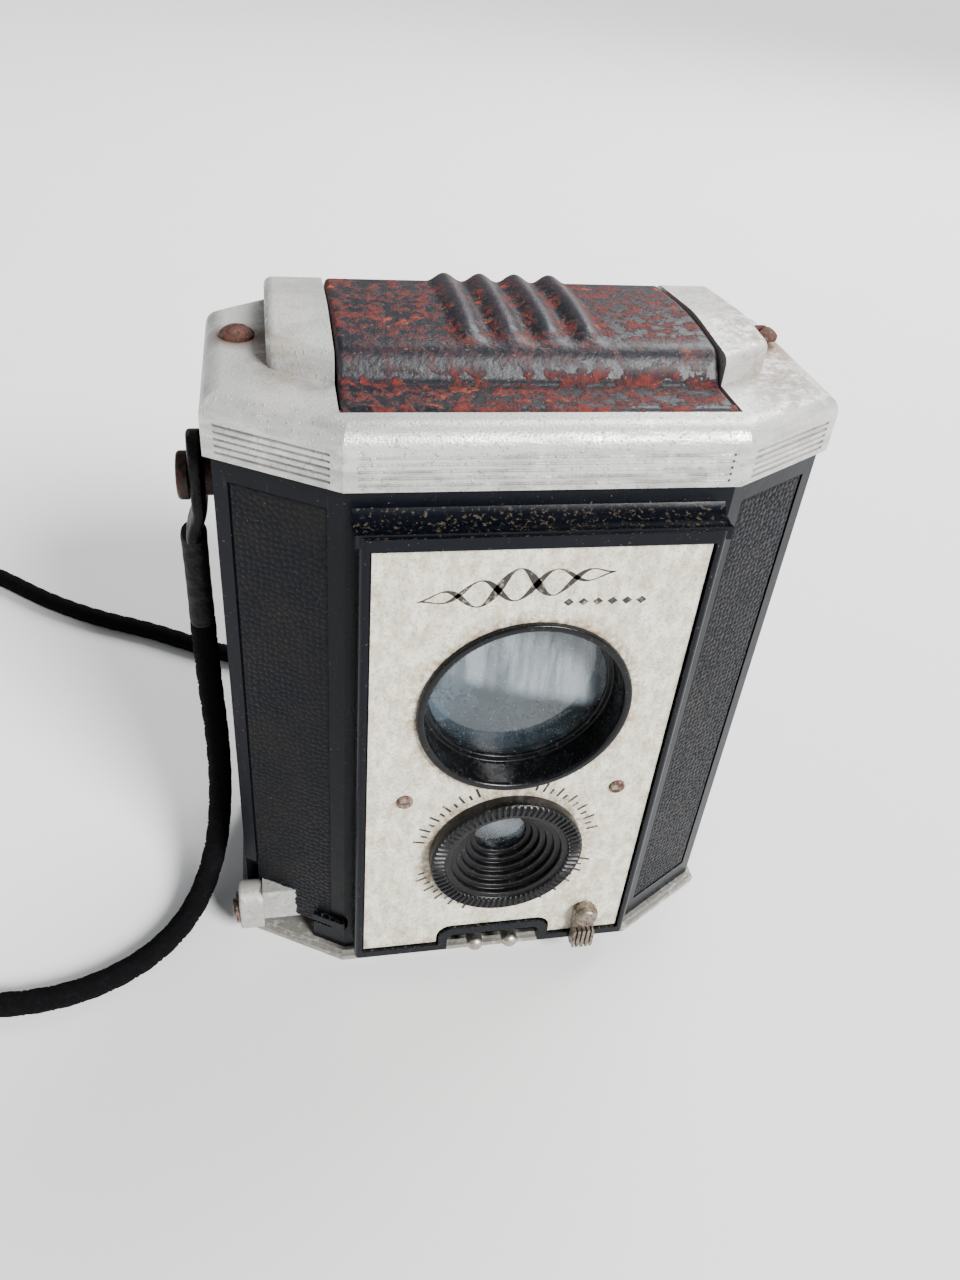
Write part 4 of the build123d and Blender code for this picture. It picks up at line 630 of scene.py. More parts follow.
def grid_mesh(name, points, wrap_rows=False, wrap_columns=False, relief_values=None, fill=False,
              smooth=True):
    """Mesh of a grid of points, rows by columns by xyz.

    Each face joins four neighbours in index order; a wrapped direction joins its last line to
    its first. Doubled points at poles are merged, open rims are filled when asked, and the
    normals of the closed form are then turned outwards.
    """
    rows, columns = points.shape[:2]
    row_count = rows if wrap_rows else rows - 1
    column_count = columns if wrap_columns else columns - 1
    i, j = np.meshgrid(np.arange(row_count), np.arange(column_count), indexing="ij")
    i2, j2 = (i + 1) % rows, (j + 1) % columns
    faces = np.stack([i * columns + j, i * columns + j2, i2 * columns + j2, i2 * columns + j], -1)
    mesh = bpy.data.meshes.new(name)
    mesh.from_pydata(points.reshape(-1, 3).tolist(), [], faces.reshape(-1, 4).tolist())
    if relief_values is not None:
        layer = mesh.attributes.new("relief", "FLOAT", "POINT")
        layer.data.foreach_set("value", relief_values.ravel().astype(np.float32))
    work = bmesh.new()
    work.from_mesh(mesh)
    bmesh.ops.remove_doubles(work, verts=work.verts, dist=1e-7)
    if fill:
        open_edges = [edge for edge in work.edges if edge.is_boundary]
        bmesh.ops.holes_fill(work, edges=open_edges, sides=0)
    bmesh.ops.recalc_face_normals(work, faces=work.faces)
    work.to_mesh(mesh)
    work.free()
    mesh.polygons.foreach_set("use_smooth", np.full(len(mesh.polygons), smooth))
    mesh.update()
    return mesh


def rounded_profile(corners, radius, steps=4):
    """Closed profile whose corners are replaced by short parabolic arcs.

    Each corner P with neighbours A and B is replaced by the curve
    (1-t)^2 P1 + 2t(1-t) P + t^2 P2, where P1 and P2 lie `radius` from P, or half the run.
    """
    corners = np.array(corners, float)
    before = np.roll(corners, 1, axis=0) - corners
    after = np.roll(corners, -1, axis=0) - corners
    t = np.linspace(0, 1, steps)[None, :, None]
    reach_in = np.minimum(radius, 0.45 * np.linalg.norm(before, axis=1))[:, None]
    reach_out = np.minimum(radius, 0.45 * np.linalg.norm(after, axis=1))[:, None]
    start = corners + before / np.linalg.norm(before, axis=1)[:, None] * reach_in
    end = corners + after / np.linalg.norm(after, axis=1)[:, None] * reach_out
    curve = ((1 - t) ** 2 * start[:, None] + 2 * t * (1 - t) * corners[:, None]
             + t ** 2 * end[:, None])
    return curve.reshape(-1, 2)


def eased_line(corners, reach):
    """Open line whose corners are replaced by arcs (1-t)^2 P1 + 2t(1-t) P + t^2 P2, where P1
    and P2 lie `reach` from the corner P."""
    before, after = corners[:-2] - corners[1:-1], corners[2:] - corners[1:-1]
    start = corners[1:-1] + before / np.linalg.norm(before, axis=1)[:, None] * reach[1:-1, None]
    end = corners[1:-1] + after / np.linalg.norm(after, axis=1)[:, None] * reach[1:-1, None]
    t = np.linspace(0, 1, 12)[None, :, None]
    curve = ((1 - t) ** 2 * start[:, None] + 2 * t * (1 - t) * corners[1:-1, None]
             + t ** 2 * end[:, None])
    return np.concatenate([corners[:1], curve.reshape(-1, 2), corners[-1:]])


def lathe_points(profile, z, steps):
    """Points of a profile turned about the line x = 0, z = `z`, parallel to Y.

    Row k holds the profile's (y, radius) pairs turned by 2 pi k / steps.
    """
    turn = np.linspace(0, 2 * np.pi, steps, endpoint=False)[:, None]
    y = np.broadcast_to(profile[:, 0], (steps, len(profile)))
    x = np.cos(turn) * profile[:, 1]
    height = z + np.sin(turn) * profile[:, 1]
    return np.stack([x, y, height], -1)


def cells(u, v, pitch, seed):
    """Distances to the nearest and second nearest of the seed points, one in each square cell."""
    random = np.random.default_rng(seed)
    jitter = random.uniform(0.12, 0.88, (512, 512, 2))
    column, row = np.floor(u / pitch).astype(int), np.floor(v / pitch).astype(int)
    gaps = []
    for dx in (-1, 0, 1):
        for dy in (-1, 0, 1):
            spot = jitter[(column + dx) % 512, (row + dy) % 512]
            gaps.append(np.hypot(u / pitch - column - dx - spot[..., 0],
                                 v / pitch - row - dy - spot[..., 1]))
    gaps = np.sort(np.array(gaps), axis=0)
    return gaps[0], gaps[1]


def leather_grain(u, v, pitch, seed):
    """Height from 0 to 1: domes about each cell's middle, cut by creases where cells meet.

    The crease is a smooth step of the difference between the two nearest distances, and long
    waves of three sines make some areas flatter than others.
    """
    first, second = cells(u, v, pitch, seed)
    crease = np.clip((second - first) / 0.34, 0, 1)
    crease = crease * crease * (3 - 2 * crease)
    dome = 1 - 0.45 * np.clip(first, 0, 1) ** 2
    wave = 0.86 + 0.14 * np.sin(u / (3.1 * pitch)) * np.sin(v / (4.3 * pitch))
    return crease * dome * wave


def grained_panel(name, start, end, low, high, sizes, material, body, hole=None):
    """Leather-grained sheet that fills a shallow recess in one upright wall.

    The grid runs along the wall from `start` to `end` and up from `low` to `high`. Each point
    stands off the recess floor by the grain height, which fades out at the rim, where the sheet
    turns back into the recess. A `hole` is the middle of a round opening and its radius.
    """
    start, end = np.array(start), np.array(end)
    along = (end - start) / np.linalg.norm(end - start)
    outward = np.array([along[1], -along[0]])
    length, height = np.linalg.norm(end - start), high - low
    step = sizes.grain_pitch / 4.2
    columns, rows = int(length / step) + 1, int(height / step) + 1
    u, v = np.meshgrid(np.linspace(0, length, columns), np.linspace(0, height, rows),
                       indexing="ij")
    grain = leather_grain(u, v, sizes.grain_pitch, seed=len(name))
    rim = np.minimum(np.minimum(u, length - u), np.minimum(v, height - v))
    fade = np.clip(rim / (0.5 * MM), 0, 1)
    lift = 0.04 * MM + fade * (0.05 * MM + sizes.grain_depth * grain)
    lift[0], lift[-1], lift[:, 0], lift[:, -1] = (0.01 * MM,) * 4
    base = start[None, None] + u[..., None] * along + lift[..., None] * outward
    points = np.concatenate([base, (low + v)[..., None]], -1)
    mesh = grid_mesh(name, points, relief_values=grain)
    if hole is not None:
        inside = (np.hypot(u - hole[0], v - hole[1]) <= hole[2]).ravel()
        work = bmesh.new()
        work.from_mesh(mesh)
        work.verts.ensure_lookup_table()
        bmesh.ops.delete(work, geom=[work.verts[k] for k in np.flatnonzero(inside)],
                         context="VERTS")
        work.to_mesh(mesh)
        work.free()
    turn_outwards(mesh, outward)
    return make_object(name, mesh, material, body)


def turn_outwards(mesh, outward):
    """Flips an open sheet whose faces look into its wall."""
    if np.dot(np.array(mesh.polygons[0].normal)[:2], outward) < 0:
        mesh.flip_normals()


def path_frames(path):
    """Two unit normals, square to each other, at each point of a path.

    The first normal is level; each next one is the last one with its part along the new
    tangent taken out, so that the section doesn't twist.
    """
    tangents = np.gradient(path, axis=0)
    tangents /= np.linalg.norm(tangents, axis=1)[:, None]
    normals = np.empty_like(path)
    normal = np.cross(tangents[0], (0.0, 1.0, 0.0))
    for index, tangent in enumerate(tangents):
        normal = normal - tangent * np.dot(normal, tangent)
        normal /= np.linalg.norm(normal)
        normals[index] = normal
    return normals, np.cross(tangents, normals)


def spaced(path, step):
    """Points at equal distances along a path."""
    runs = np.linalg.norm(np.diff(path, axis=0), axis=1)
    along = np.concatenate([[0], np.cumsum(runs)])
    count = int(round(along[-1] / step)) + 1
    wanted = np.linspace(0, along[-1], count)
    return np.stack([np.interp(wanted, along, path[:, k]) for k in range(3)], -1), along[-1]


def cord_path():
    """Points read from the smooth spline that the route's points control."""
    curve = bpy.data.curves.new("cord_line", "CURVE")
    curve.dimensions = "3D"
    curve.resolution_u = 24
    spline = curve.splines.new("NURBS")
    spline.points.add(len(CORD_ROUTE) - 1)
    spline.points.foreach_set("co", np.c_[CORD_ROUTE, np.ones(len(CORD_ROUTE))].ravel())
    spline.order_u = 3
    spline.use_endpoint_u = True
    holder = bpy.data.objects.new("cord_line", curve)
    mesh = bpy.data.meshes.new_from_object(holder)
    points = np.empty(len(mesh.vertices) * 3)
    mesh.vertices.foreach_get("co", points)
    bpy.data.objects.remove(holder)
    bpy.data.meshes.remove(mesh)
    bpy.data.curves.remove(curve)
    return points.reshape(-1, 3)


# ---------------------------------------------------------------- operators
def finish(material, *nodes):
    """Gives CAD nodes a material."""
    for node in nodes:
        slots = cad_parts[node].material_slots
        if len(slots):
            for slot in slots:
                slot.material = material
        else:
            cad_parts[node].data.materials.append(material)


class TLR_OT_neck_cord(bpy.types.Operator):
    """Makes the braided neck cord and its two sleeves."""

    bl_idname = "object.tlr_neck_cord"
    bl_label = "Neck Cord"

    def execute(self, context):
        """The tube's radius is that of the cord less a dip where two sets of helical strands
        part: each set's height is |cos| of strands/2 times the angle plus or minus the turn
        along the cord, and the higher one shows."""
        sizes = context.scene.tlr_sizes
        radius = sizes.cord_diameter / 2
        path, length = spaced(cord_path(), 0.5 * MM)
        side, up = path_frames(path)
        angle = np.linspace(0, 2 * np.pi, 36, endpoint=False)[None, :]
        along = np.linspace(0, length, len(path))[:, None]
        turn = 2 * np.pi * along / sizes.braid_pitch
        strands = sizes.braid_strands / 2
        height = np.maximum(np.abs(np.cos(strands * (angle + turn))),
                            np.abs(np.cos(strands * (angle - turn))))
        height = np.clip((height - 0.7) / 0.3, 0, 1)
        reach = radius - 0.30 * MM * (1 - height)
        points = (path[:, None] + reach[..., None] * (np.cos(angle)[..., None] * side[:, None]
                                                     + np.sin(angle)[..., None] * up[:, None]))
        mesh = grid_mesh("neck_cord_braid", points, wrap_columns=True, relief_values=height,
                         fill=True)
        cord = make_object("neck_cord_braid", mesh, braided_cotton(), "case")
        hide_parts("neck_cord")
        sleeves = [self.sleeve(side_name) for side_name in ("left", "right")]
        return {"FINISHED"}

    def sleeve(self, side):
        """Hide wrapped round the cord: a superellipse section that waists a little, with
        shallow creases round it."""
        node = f"cord_sleeve_{side}"
        low, high = (np.array(corner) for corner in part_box(node))
        centre, half = (low + high) / 2, (high - low) / 2
        v = np.linspace(0, 1, 60)[:, None]
        angle = np.linspace(0, 2 * np.pi, 56, endpoint=False)[None, :]
        creases = 0.5 + 0.5 * np.cos(30 * v + 1.5 * np.sin(angle))
        pinch = 1 - 0.04 * np.sin(np.pi * v) - 0.02 * creases
        end = np.clip(np.minimum(v, 1 - v) / 0.03, 0, 1) ** 0.5
        scale = pinch * (0.88 + 0.12 * end)
        x = centre[0] + half[0] * scale * np.sign(np.cos(angle)) * np.abs(np.cos(angle)) ** 0.8
        y = centre[1] + half[1] * scale * np.sign(np.sin(angle)) * np.abs(np.sin(angle)) ** 0.8
        z = np.broadcast_to(low[2] + v * (high[2] - low[2]), x.shape)
        mesh = grid_mesh(f"sleeve_{side}", np.stack([x, y, z], -1), wrap_columns=True, fill=True)
        piece = make_object(f"sleeve_{side}", mesh, cord_sleeve_hide(), "case")
        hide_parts(node)
        return piece


class TLR_OT_strap_fittings(bpy.types.Operator):
    """Makes the leather tabs and finishes the lugs that hold them."""

    bl_idname = "object.tlr_strap_fittings"
    bl_label = "Strap Tabs"

    def execute(self, context):
        """A tab is a strip whose middle line follows the CAD tab's and whose section is a
        flattened ellipse; its width narrows round the top."""
        leather = creased_leather()
        for side, sign in (("left", -1), ("right", 1)):
            node = f"strap_tab_{side}"
            low, high = (np.array(corner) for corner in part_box(node))
            v = np.linspace(0, 1, 90)[:, None]
            angle = np.linspace(0, 2 * np.pi, 48, endpoint=False)[None, :]
            z = low[2] + v * (high[2] - low[2])
            middle_y = (low[1] + high[1]) / 2
            half = (high[1] - low[1]) / 2
            from_top = np.clip((high[2] - z) / half, 0, 1)
            width = half * np.sqrt(np.clip(1 - (1 - from_top) ** 2, 0, 1))
            bend = np.clip((81.5 * MM - z) / (81.5 * MM - low[2]), 0, 1)
            middle_x = sign * (46.02 * MM + 1.25 * MM * bend * bend * (3 - 2 * bend))
            thick = 1.15 * MM * np.ones_like(z)
            thick[-2:] *= 0.5
            x = middle_x + thick * np.sign(np.cos(angle)) * np.abs(np.cos(angle)) ** 0.45
            y = middle_y + width * np.sign(np.sin(angle)) * np.abs(np.sin(angle)) ** 0.7
            z = np.broadcast_to(z, x.shape)
            mesh = grid_mesh(f"leather_tab_{side}", np.stack([x, y, z], -1), wrap_columns=True,
                             fill=True)
            piece = make_object(f"leather_tab_{side}", mesh, leather, "case")
            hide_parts(node)
        finish(rusted_steel("Rusted lug steel", "#2a2725", 0.5), "strap_lug_left",
               "strap_lug_right")
        return {"FINISHED"}


class TLR_OT_case(bpy.types.Operator):
    """Finishes the moulded case and lays the leather grain into its panels."""

    bl_idname = "object.tlr_case"
    bl_label = "Moulded Case"

    def execute(self, context):
        sizes, colours = context.scene.tlr_sizes, context.scene.tlr_colours
        finish(polished_bakelite(tuple(colours.bakelite)), "front_body", "back_cover")
        grain = grained_bakelite(tuple(colours.bakelite))
        half_width = CAP_HIGH[0]
        front, back = CAP_LOW[1], CAP_HIGH[1]
        walls = {
            "panel_front_left": ((-half_width, -SIDE_FRONT), (-FRONT_FLAT / 2, front)),
            "panel_front_right": ((FRONT_FLAT / 2, front), (half_width, -SIDE_FRONT)),
            "panel_back_right": ((half_width, SIDE_BACK), (BACK_FLAT / 2, back)),
            "panel_back_middle": ((BACK_FLAT / 2, back), (-BACK_FLAT / 2, back)),
            "panel_back_left": ((-BACK_FLAT / 2, back), (-half_width, SIDE_BACK)),
        }
        for name, (start, end) in walls.items():
            start, end = np.array(start), np.array(end)
            along = (end - start) / np.linalg.norm(end - start)
            inward = np.array([-along[1], along[0]])
            sink = inward * (OVERHANG + PANEL_DEPTH)
            border = along * (PANEL_BORDER + 0.02 * MM)
            at_back = "back" in name
            low = BACK_LOW[2] + COVER_BORDER if at_back else PANEL_LOW
            high = BACK_HIGH[2] - COVER_BORDER if at_back else PANEL_HIGH
            hole = None
            if name == "panel_back_middle":
                run = np.linalg.norm(end - start) - 2 * PANEL_BORDER
                hole = (run / 2, LENS_Z - low, WINDOW_RIM + 0.1 * MM)
            grained_panel(name, start + sink + border, end + sink - border, low, high, sizes,
                          grain, "back" if at_back else "case", hole)
        return {"FINISHED"}


class TLR_OT_cap_and_hood(bpy.types.Operator):
    """Finishes the metal cap and its screws, the hood with its blinds, and the finder under it."""

    bl_idname = "object.tlr_cap_and_hood"
    bl_label = "Cap and Hood"

    def execute(self, context):
        colours = context.scene.tlr_colours
        finish(aged_cap_aluminium(tuple(colours.cap)), "top_cap")
        self.lid(rusted_hood_enamel(tuple(colours.hood)))
        finish(worn_black("Satin black blind enamel", "#15161a", 0.5, 0.2), "blind_left",
               "blind_right", "finder_frame")
        finish(rusted_steel("Rusted screw steel", "#6f675e", 0.34), "cap_screws")
        finish(frosted_glass("Frosted viewing glass", "#e6ebea", 0.25), "viewing_glass")
        return {"FINISHED"}

    def lid(self, material):
        """Pressed sheet hood. Each row is a closed loop across the lid: up one side, over the
        top and down the other, then back inside it. The top follows LID_LINE along Y. Across X
        it also rises along the line's normal by half of one plus the cosine of the rib pitch,
        which fades in behind the shoulder and out over the rear edge. The curl is a tube."""
        half, sheet, corner = LID_HALF, LID_SHEET, LID_EDGE_R
        line = eased_line(LID_LINE, LID_REACH)
        line, _ = spaced(np.c_[np.zeros(len(line)), line], 0.28 * MM)
        y, z = line[:, 1], line[:, 2]
        slope = np.stack([np.gradient(y), np.gradient(z)], -1)
        slope /= np.linalg.norm(slope, axis=1)[:, None]
        ny, nz = -slope[:, 1:], slope[:, :1]
        y, z = y[:, None], z[:, None]
        by_curl = y < LID_LINE[0, 0] + LID_CURL_R + 0.2 * MM
        foot = np.where(by_curl, LID_TOP - sheet - 0.05 * MM, LID_TOP - LID_WALL)
        turn = np.linspace(0, np.pi / 2, 6)
        across = np.linspace(-half + corner, half - corner, 231)[1:-1]
        x = np.concatenate([[-half, -half], -half + corner - corner * np.cos(turn), across,
                            half - corner + corner * np.cos(turn[::-1]), [half, half]])
        drop = np.concatenate([corner - corner * np.sin(turn), 0 * across,
                               corner - corner * np.sin(turn[::-1])])[None, :]
        top_x = x[None, 2:-2]
        rise = 0.5 + 0.5 * np.cos(2 * np.pi * (top_x - RIB_PITCH / 2) / RIB_PITCH)
        fade_in = np.clip((y + 8.2 * MM) / (4.2 * MM), 0, 1)
        fade_out = np.clip((21.7 * MM - y) / (2.4 * MM), 0, 1)
        fade = fade_in * fade_out
        fade = fade * fade * (3 - 2 * fade) * (np.abs(top_x) < 2 * RIB_PITCH)
        rib = rise * fade
        top_y = y + ny * RIB_HEIGHT * rib
        top_z = z - drop + nz * RIB_HEIGHT * rib
        wall = 0.5 * (foot + z - corner)
        outer_y = np.concatenate([y, y, top_y, y, y], 1)
        outer_z = np.concatenate([foot, wall, top_z, wall, foot], 1)
        inner_x = np.linspace(half - sheet, -half + sheet, 40)
        inner_x = np.concatenate([inner_x[:1], inner_x, inner_x[-1:]])
        inner_y = np.repeat(y - ny * sheet, len(inner_x), 1)
        inner_z = np.repeat(z - nz * sheet, len(inner_x), 1)
        inner_y[:, :1], inner_y[:, -1:] = y, y
        inner_z[:, :1], inner_z[:, -1:] = foot, foot
        inner_z = np.maximum(inner_z, foot)
        px = np.broadcast_to(np.concatenate([x, inner_x]), (len(y), len(x) + len(inner_x)))
        points = np.stack([px, np.concatenate([outer_y, inner_y], 1),
                           np.concatenate([outer_z, inner_z], 1)], -1)
        shade = np.zeros(points.shape[:2])
        shade[:, 2:len(x) - 2] = rib
        mesh = grid_mesh("lid_shell", points, wrap_columns=True, relief_values=shade, fill=True)
        shell = make_object("lid_shell", mesh, material, "hood")
        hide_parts("hood_lid")
        ring = rounded_profile([(-half, LID_CURL_BORE), (-half, LID_CURL_R),
                                (half, LID_CURL_R), (half, LID_CURL_BORE)], 0.15 * MM, 3)
        curl = lathe_points(ring, 0, 40)[..., [1, 0, 2]]
        curl += (0, LID_LINE[0, 0], LID_TOP - LID_CURL_R)
        mesh = grid_mesh("lid_curl", curl, wrap_rows=True, wrap_columns=True)
        make_object("lid_curl", mesh, material, "hood")


class TLR_OT_face_plate(bpy.types.Operator):
    """Finishes the face plate and prints a plain ornament on it."""

    bl_idname = "object.tlr_face_plate"
    bl_label = "Face Plate"

    def execute(self, context):
        colours = context.scene.tlr_colours
        finish(champagne_enamel(tuple(colours.plate)), "faceplate")
        finish(rusted_steel("Rusted rivet steel", "#8d8072", 0.5), "plate_rivets")
        finish(rusted_steel("Grey-brown lever steel", "#7f776c", 0.56), "exposure_lever",
               "exposure_shaft")
        finish(worn_nickel(), "flash_pins")
        ink = printing_ink()
        self.ring_of_ticks(ink)
        self.flourish(ink)
        return {"FINISHED"}

    def ribbon(self, name, x, z, half_width, ink):
        """Flat stroke just proud of the plate: at each point the line is offset both ways along
        its normal by half its width."""
        slope = np.stack([np.gradient(x), np.gradient(z)], -1)
        slope /= np.linalg.norm(slope, axis=1)[:, None]
        normal = np.stack([-slope[:, 1], slope[:, 0]], -1)
        edge = np.stack([x, z], -1)[:, None] + normal[:, None] * (
            half_width[:, None] * np.array([-1.0, 1.0]))[..., None]
        front = PLATE_Y - 0.025 * MM
        outer = np.stack([edge[..., 0], np.full(edge.shape[:2], front), edge[..., 1]], -1)
        inner = outer[:, ::-1].copy()
        inner[..., 1] = PLATE_Y + 0.01 * MM
        points = np.concatenate([outer, inner], 1)
        mesh = grid_mesh(name, points, wrap_columns=True, fill=True, smooth=False)
        return make_object(name, mesh, ink, "case")

    def ring_of_ticks(self, ink):
        """Plain radial ticks round the taking lens: each is a box whose inner edge lies 1.3 mm
        outside the ring, at equal angles on four arcs, long and short in turn."""
        angles = np.radians(np.concatenate([np.arange(14, 76, 5.5), np.arange(112, 168, 5.5),
                                            np.arange(198, 250, 5.5), np.arange(294, 344, 5.5)]))
        inner, half = RING_R + 1.2 * MM, 0.2 * MM
        reach = np.where(np.arange(len(angles)) % 2 == 0, 2.0 * MM, 1.1 * MM)
        radial = np.stack([np.cos(angles), np.sin(angles)], -1)
        across = np.stack([-radial[:, 1], radial[:, 0]], -1) * half
        near_end = radial * inner
        far_end = radial * (inner + reach)[:, None]
        flat = np.stack([near_end - across, near_end + across, far_end + across,
                         far_end - across], 1)
        flat[..., 1] += LENS_Z
        keep = flat[..., 1].min(axis=1) > 14.5 * MM
        flat = flat[keep]
        front = np.stack([flat[..., 0], np.full(flat.shape[:2], PLATE_Y - 0.025 * MM),
                          flat[..., 1]], -1)
        back = front.copy()
        back[..., 1] = PLATE_Y + 0.01 * MM
        points = np.concatenate([front, back], 1).reshape(-1, 3)
        corners = np.array([(0, 1, 2, 3), (7, 6, 5, 4), (0, 4, 5, 1), (1, 5, 6, 2), (2, 6, 7, 3),
                            (3, 7, 4, 0)])
        faces = (corners[None] + 8 * np.arange(len(flat))[:, None, None]).reshape(-1, 4)
        mesh = bpy.data.meshes.new("lens_ticks")
        mesh.from_pydata(points.tolist(), [], faces.tolist())
        work = bmesh.new()
        work.from_mesh(mesh)
        bmesh.ops.recalc_face_normals(work, faces=work.faces)
        work.to_mesh(mesh)
        work.free()
        make_object("lens_ticks", mesh, ink, "case")

    def flourish(self, ink):
        """Ornament above the finder: two tapering waves, x = t and z = a sine that dies out,
        thick in the middle and thin at its ends, and a row of diamonds under their end."""
        t = np.linspace(0, 1, 200)
        base = FINDER_Z + BEZEL_R + 4.0 * MM
        fade = np.sin(np.pi * t)
        for name, rise, phase, weight in (("flourish_upper", 2.9, 0.0, 0.55),
                                          ("flourish_lower", 2.3, np.pi, 0.4)):
            x = (-17.0 + 27.0 * t) * MM
            z = base + (4.0 * t + rise * fade * np.sin(5 * np.pi * t + phase)) * MM
            width = (0.08 + weight * fade * (0.5 + 0.5 * np.cos(10 * np.pi * t))) * MM
            self.ribbon(name, x, z, width, ink)
        for index, x in enumerate(np.arange(4.0, 14.6, 2.1)):
            t = np.linspace(-1, 1, 21)
            self.ribbon(f"diamond_{index}", (x + 0.75 * t) * MM, np.full_like(t, base - 0.9 * MM),
                        (0.02 + 0.62 * (1 - np.abs(t))) * MM, ink)


class TLR_OT_lenses(bpy.types.Operator):
    """Makes the finder lens in its bezel and the taking lens in its knurled ring."""

    bl_idname = "object.tlr_lenses"
    bl_label = "Lenses"

    def execute(self, context):
        sizes = context.scene.tlr_sizes
        self.bezel()
        self.ring(sizes.knurls)
        self.glass("finder_glass", "finder_lens", FINDER_Z, 1.1 * MM,
                   dust_and_painted_light_glass("Finder lens glass with dust and painted light", 1.0, FINDER_Z))
        self.glass("taking_glass", "taking_lens", LENS_Z, 0.6 * MM,
                   dust_and_painted_light_glass("Taking lens glass with dust and painted light", 0.5, LENS_Z))
        finish(tarnished_mirror(), "finder_mirror")
        return {"FINISHED"}

    def bezel(self):
        """Closed profile turned about the finder's axis, its corners eased by small arcs."""
        bore, barrel = BEZEL_R - 1.45 * MM, BEZEL_R - 1.0 * MM
        front, back = BEZEL_LOW[1], BEZEL_HIGH[1]
        seat = PLATE_Y + 4.4 * MM
        on_plate = PLATE_Y - 0.01 * MM
        profile = rounded_profile([
            (on_plate, barrel), (on_plate, BEZEL_R), (front, BEZEL_R - 0.2 * MM),
            (front, bore + 0.3 * MM), (front + 0.5 * MM, bore), (seat, bore),
            (seat, bore - 1.1 * MM), (seat + 0.7 * MM, bore - 1.1 * MM), (seat + 0.7 * MM, bore),
            (back, bore), (back, barrel)], 0.28 * MM)
        mesh = grid_mesh("bezel", lathe_points(profile, FINDER_Z, 192), wrap_rows=True,
                         wrap_columns=True)
        enamel = worn_black("Black bezel enamel", "#060709", 0.24, 0.1)
        piece = make_object("bezel", mesh, enamel, "case")
        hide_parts("finder_bezel")

    def ring(self, knurls):
        """Stepped well turned about the lens axis. The flat face between its two rims sinks by
        a smooth square wave of the angle, which makes the knurls."""
        front, back = RING_LOW[1], RING_HIGH[1]
        barrel = RING_R - 1.94 * MM
        corners = [(PLATE_Y - 0.01 * MM, barrel), (PLATE_Y - 0.01 * MM, RING_R),
                   (front + 0.5 * MM, RING_R), (front + 0.02 * MM, RING_R - 0.42 * MM)]
        face = [(front, RING_R - 0.5 * MM), (front, RING_R - 2.3 * MM)]
        steps = []
        for index in range(5):
            ahead = front + (0.7 + index * 1.05) * MM
            radius = RING_R - (2.54 + index) * MM
            steps += [(ahead, radius), (ahead, radius - 1.0 * MM)]
        seat = front + 5.95 * MM
        tail = [(seat, 5.3 * MM), (seat, 4.4 * MM), (seat + 0.7 * MM, 4.4 * MM),
                (seat + 0.7 * MM, 5.35 * MM), (back, 5.35 * MM), (back, barrel)]
        profile = rounded_profile(corners + face + steps + tail, 0.16 * MM, 3)
        on_face = (np.abs(profile[:, 0] - front) < 0.12 * MM)
        on_face &= (profile[:, 1] > RING_R - 2.4 * MM) & (profile[:, 1] < RING_R - 0.2 * MM)
        count = knurls * 10
        points = lathe_points(profile, LENS_Z, count)
        turn = np.linspace(0, 2 * np.pi, count, endpoint=False)
        groove = 0.5 + 0.5 * np.tanh(3.5 * (np.cos(knurls * turn) - 0.2))
        points[:, :, 1] += groove[:, None] * on_face[None] * 0.34 * MM
        mesh = grid_mesh("knurled_ring", points, wrap_rows=True, wrap_columns=True)
        plastic = worn_black("Moulded black ring", "#060608", 0.3, 0.12)
        piece = make_object("knurled_ring", mesh, plastic, "case")
        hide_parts("lens_ring")

    def glass(self, name, node, z, bulge, material):
        """Plano-convex lens: its front rises by bulge times one less the square of the radius
        over the lens's own, and its back is flat."""
        low, high = (np.array(corner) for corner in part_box(node))
        radius = (high[0] - low[0]) / 2
        r = np.linspace(0, 1, 40)
        front = np.stack([low[1] + bulge * r ** 2, r * (radius - 0.05 * MM)], -1)
        rim = np.array([(low[1] + bulge + 0.1 * MM, radius), (high[1] - 0.1 * MM, radius)])
        back = np.stack([np.full(20, high[1]), np.linspace(1, 0, 20) * (radius - 0.1 * MM)], -1)
        profile = np.concatenate([front, rim, back])
        mesh = grid_mesh(name, lathe_points(profile, z, 160), wrap_rows=True)
        piece = make_object(name, mesh, material, "case")
        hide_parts(node)


class TLR_OT_fittings(bpy.types.Operator):
    """Finishes the base, the release, the latch, the hinge and the works inside."""

    bl_idname = "object.tlr_fittings"
    bl_label = "Base and Works"

    def execute(self, context):
        finish(cast_metal("Mottled cast base", "#86847e", 0.5), "base_plate")
        finish(cast_metal("Smooth cast release", "#a3a29d", 0.22), "shutter_release")
        finish(rusted_steel("Tarnished plain steel", "#8b877f", 0.62), "back_hinge_pins",
               "base_screws", "blind_pins", "guide_rods", "hood_hinge_pin", "back_latch",
               "winding_key", "winding_knob", "release_rod", "release_spring", "shutter_disc",
               "shutter_pivot", "spool_pins", "spool_springs", "exposure_cam")
        finish(rusted_steel("Pitted release rivet", "#7b746b", 0.5), "release_rivet")
        finish(worn_black("Satin black inner enamel", "#101113", 0.55, 0.2), "light_cone",
               "film_gate", "supply_spool", "takeup_spool", "finder_retainer", "mirror_box")
        finish(worn_black("Matt black moulded board", "#121213", 0.75, 0.2), "shutter_plate",
               "aperture_plate", "flash_insulator")
        finish(frosted_glass("Red celluloid window", "#8a0f10", 0.12), "film_window")
        return {"FINISHED"}


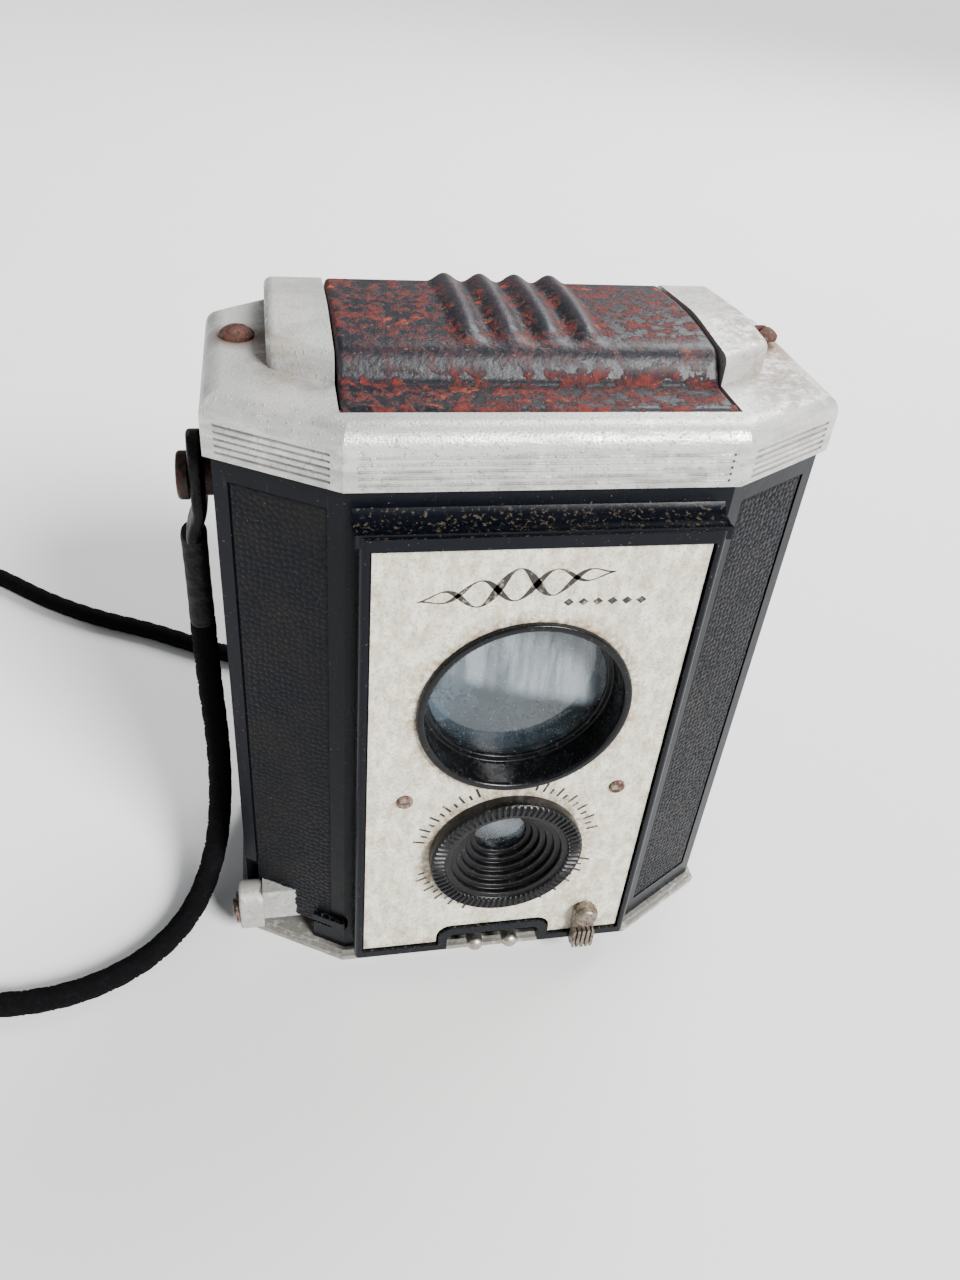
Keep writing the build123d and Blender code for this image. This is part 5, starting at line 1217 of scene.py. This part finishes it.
class TLR_OT_stage(bpy.types.Operator):
    """Lays the floor and sets up the soft lights and the camera."""

    bl_idname = "object.tlr_stage"
    bl_label = "Stage"

    def execute(self, context):
        scene = context.scene
        half = 15.0
        mesh = bpy.data.meshes.new("floor")
        mesh.from_pydata([(-half, -half, 0), (half, -half, 0), (half, half, 0), (-half, half, 0)],
                         [], [(0, 1, 2, 3)])
        floor = bpy.data.objects.new("floor", mesh)
        mesh.materials.append(pale_table())
        scene.collection.objects.link(floor)
        world = bpy.data.worlds.new("Soft studio")
        world.use_nodes = True
        sky = world.node_tree.nodes["Background"]
        sky.inputs["Color"].default_value = linear("#eef1f6")
        sky.inputs["Strength"].default_value = 0.34
        scene.world = world
        for name, kind, place, size, power in (
                ("key", "SUN", (0.55, -0.85, 0.74), 0.35, 10.0),
                ("window", "AREA", (0.55, 0.55, 0.85), 0.7, 20.0),
                ("fill", "AREA", (-0.75, -0.45, 0.75), 0.8, 1.0)):
            light = bpy.data.lights.new(name, kind)
            light.energy = power
            if kind == "SUN":
                light.angle = size
            else:
                light.size = size
            lamp = bpy.data.objects.new(name, light)
            scene.collection.objects.link(lamp)
            away = np.array(place) - (0, 0, 0.05)
            lamp.matrix_world = self.facing(place, away / np.linalg.norm(away), (0, 0, 1))
        lens = bpy.data.cameras.new("view")
        lens.sensor_width = 36.0
        lens.lens = CAMERA_LENS
        lens.clip_start = 0.01
        view = bpy.data.objects.new("view", lens)
        scene.collection.objects.link(view)
        turn = Euler(np.radians(CAMERA_TURN).tolist(), "XYZ")
        view.matrix_world = Matrix.LocRotScale(MM * Vector(CAMERA_PLACE), turn, None)
        scene.camera = view
        return {"FINISHED"}

    def facing(self, place, back, up):
        """Matrix of something at `place` whose local Z points along `back`."""
        right = np.cross(up, back)
        right /= np.linalg.norm(right)
        top = np.cross(back, right)
        return Matrix([(*row, where) for row, where in zip(zip(right, top, back), place)]
                      + [(0, 0, 0, 1)])


OPERATORS = (TLR_OT_stage, TLR_OT_neck_cord, TLR_OT_strap_fittings, TLR_OT_case,
             TLR_OT_cap_and_hood, TLR_OT_face_plate, TLR_OT_lenses, TLR_OT_fittings)


class TLR_PT_panel(bpy.types.Panel):
    """Lists the camera's operators and settings."""

    bl_idname = "TLR_PT_panel"
    bl_label = "TLR Camera"
    bl_space_type = "VIEW_3D"
    bl_region_type = "UI"
    bl_category = "TLR Camera"

    def draw(self, context):
        for operator in OPERATORS:
            self.layout.operator(operator.bl_idname)
        for group in (context.scene.tlr_sizes, context.scene.tlr_colours):
            for name in group.bl_rna.properties.keys():
                if name not in ("name", "rna_type"):
                    self.layout.prop(group, name)


CLASSES = (TlrSizes, TlrColours, *OPERATORS, TLR_PT_panel)


def register():
    """Registers the classes and the settings on the scene."""
    for cls in CLASSES:
        bpy.utils.register_class(cls)
    bpy.types.Scene.tlr_sizes = PointerProperty(type=TlrSizes)
    bpy.types.Scene.tlr_colours = PointerProperty(type=TlrColours)


def unregister():
    """Takes the settings and the classes away again."""
    del bpy.types.Scene.tlr_colours
    del bpy.types.Scene.tlr_sizes
    for cls in reversed(CLASSES):
        bpy.utils.unregister_class(cls)


def main():
    """Builds every piece in order."""
    register()
    for operator in OPERATORS:
        group, name = operator.bl_idname.split(".")
        getattr(getattr(bpy.ops, group), name)()


if __name__ == "__main__":
    main()
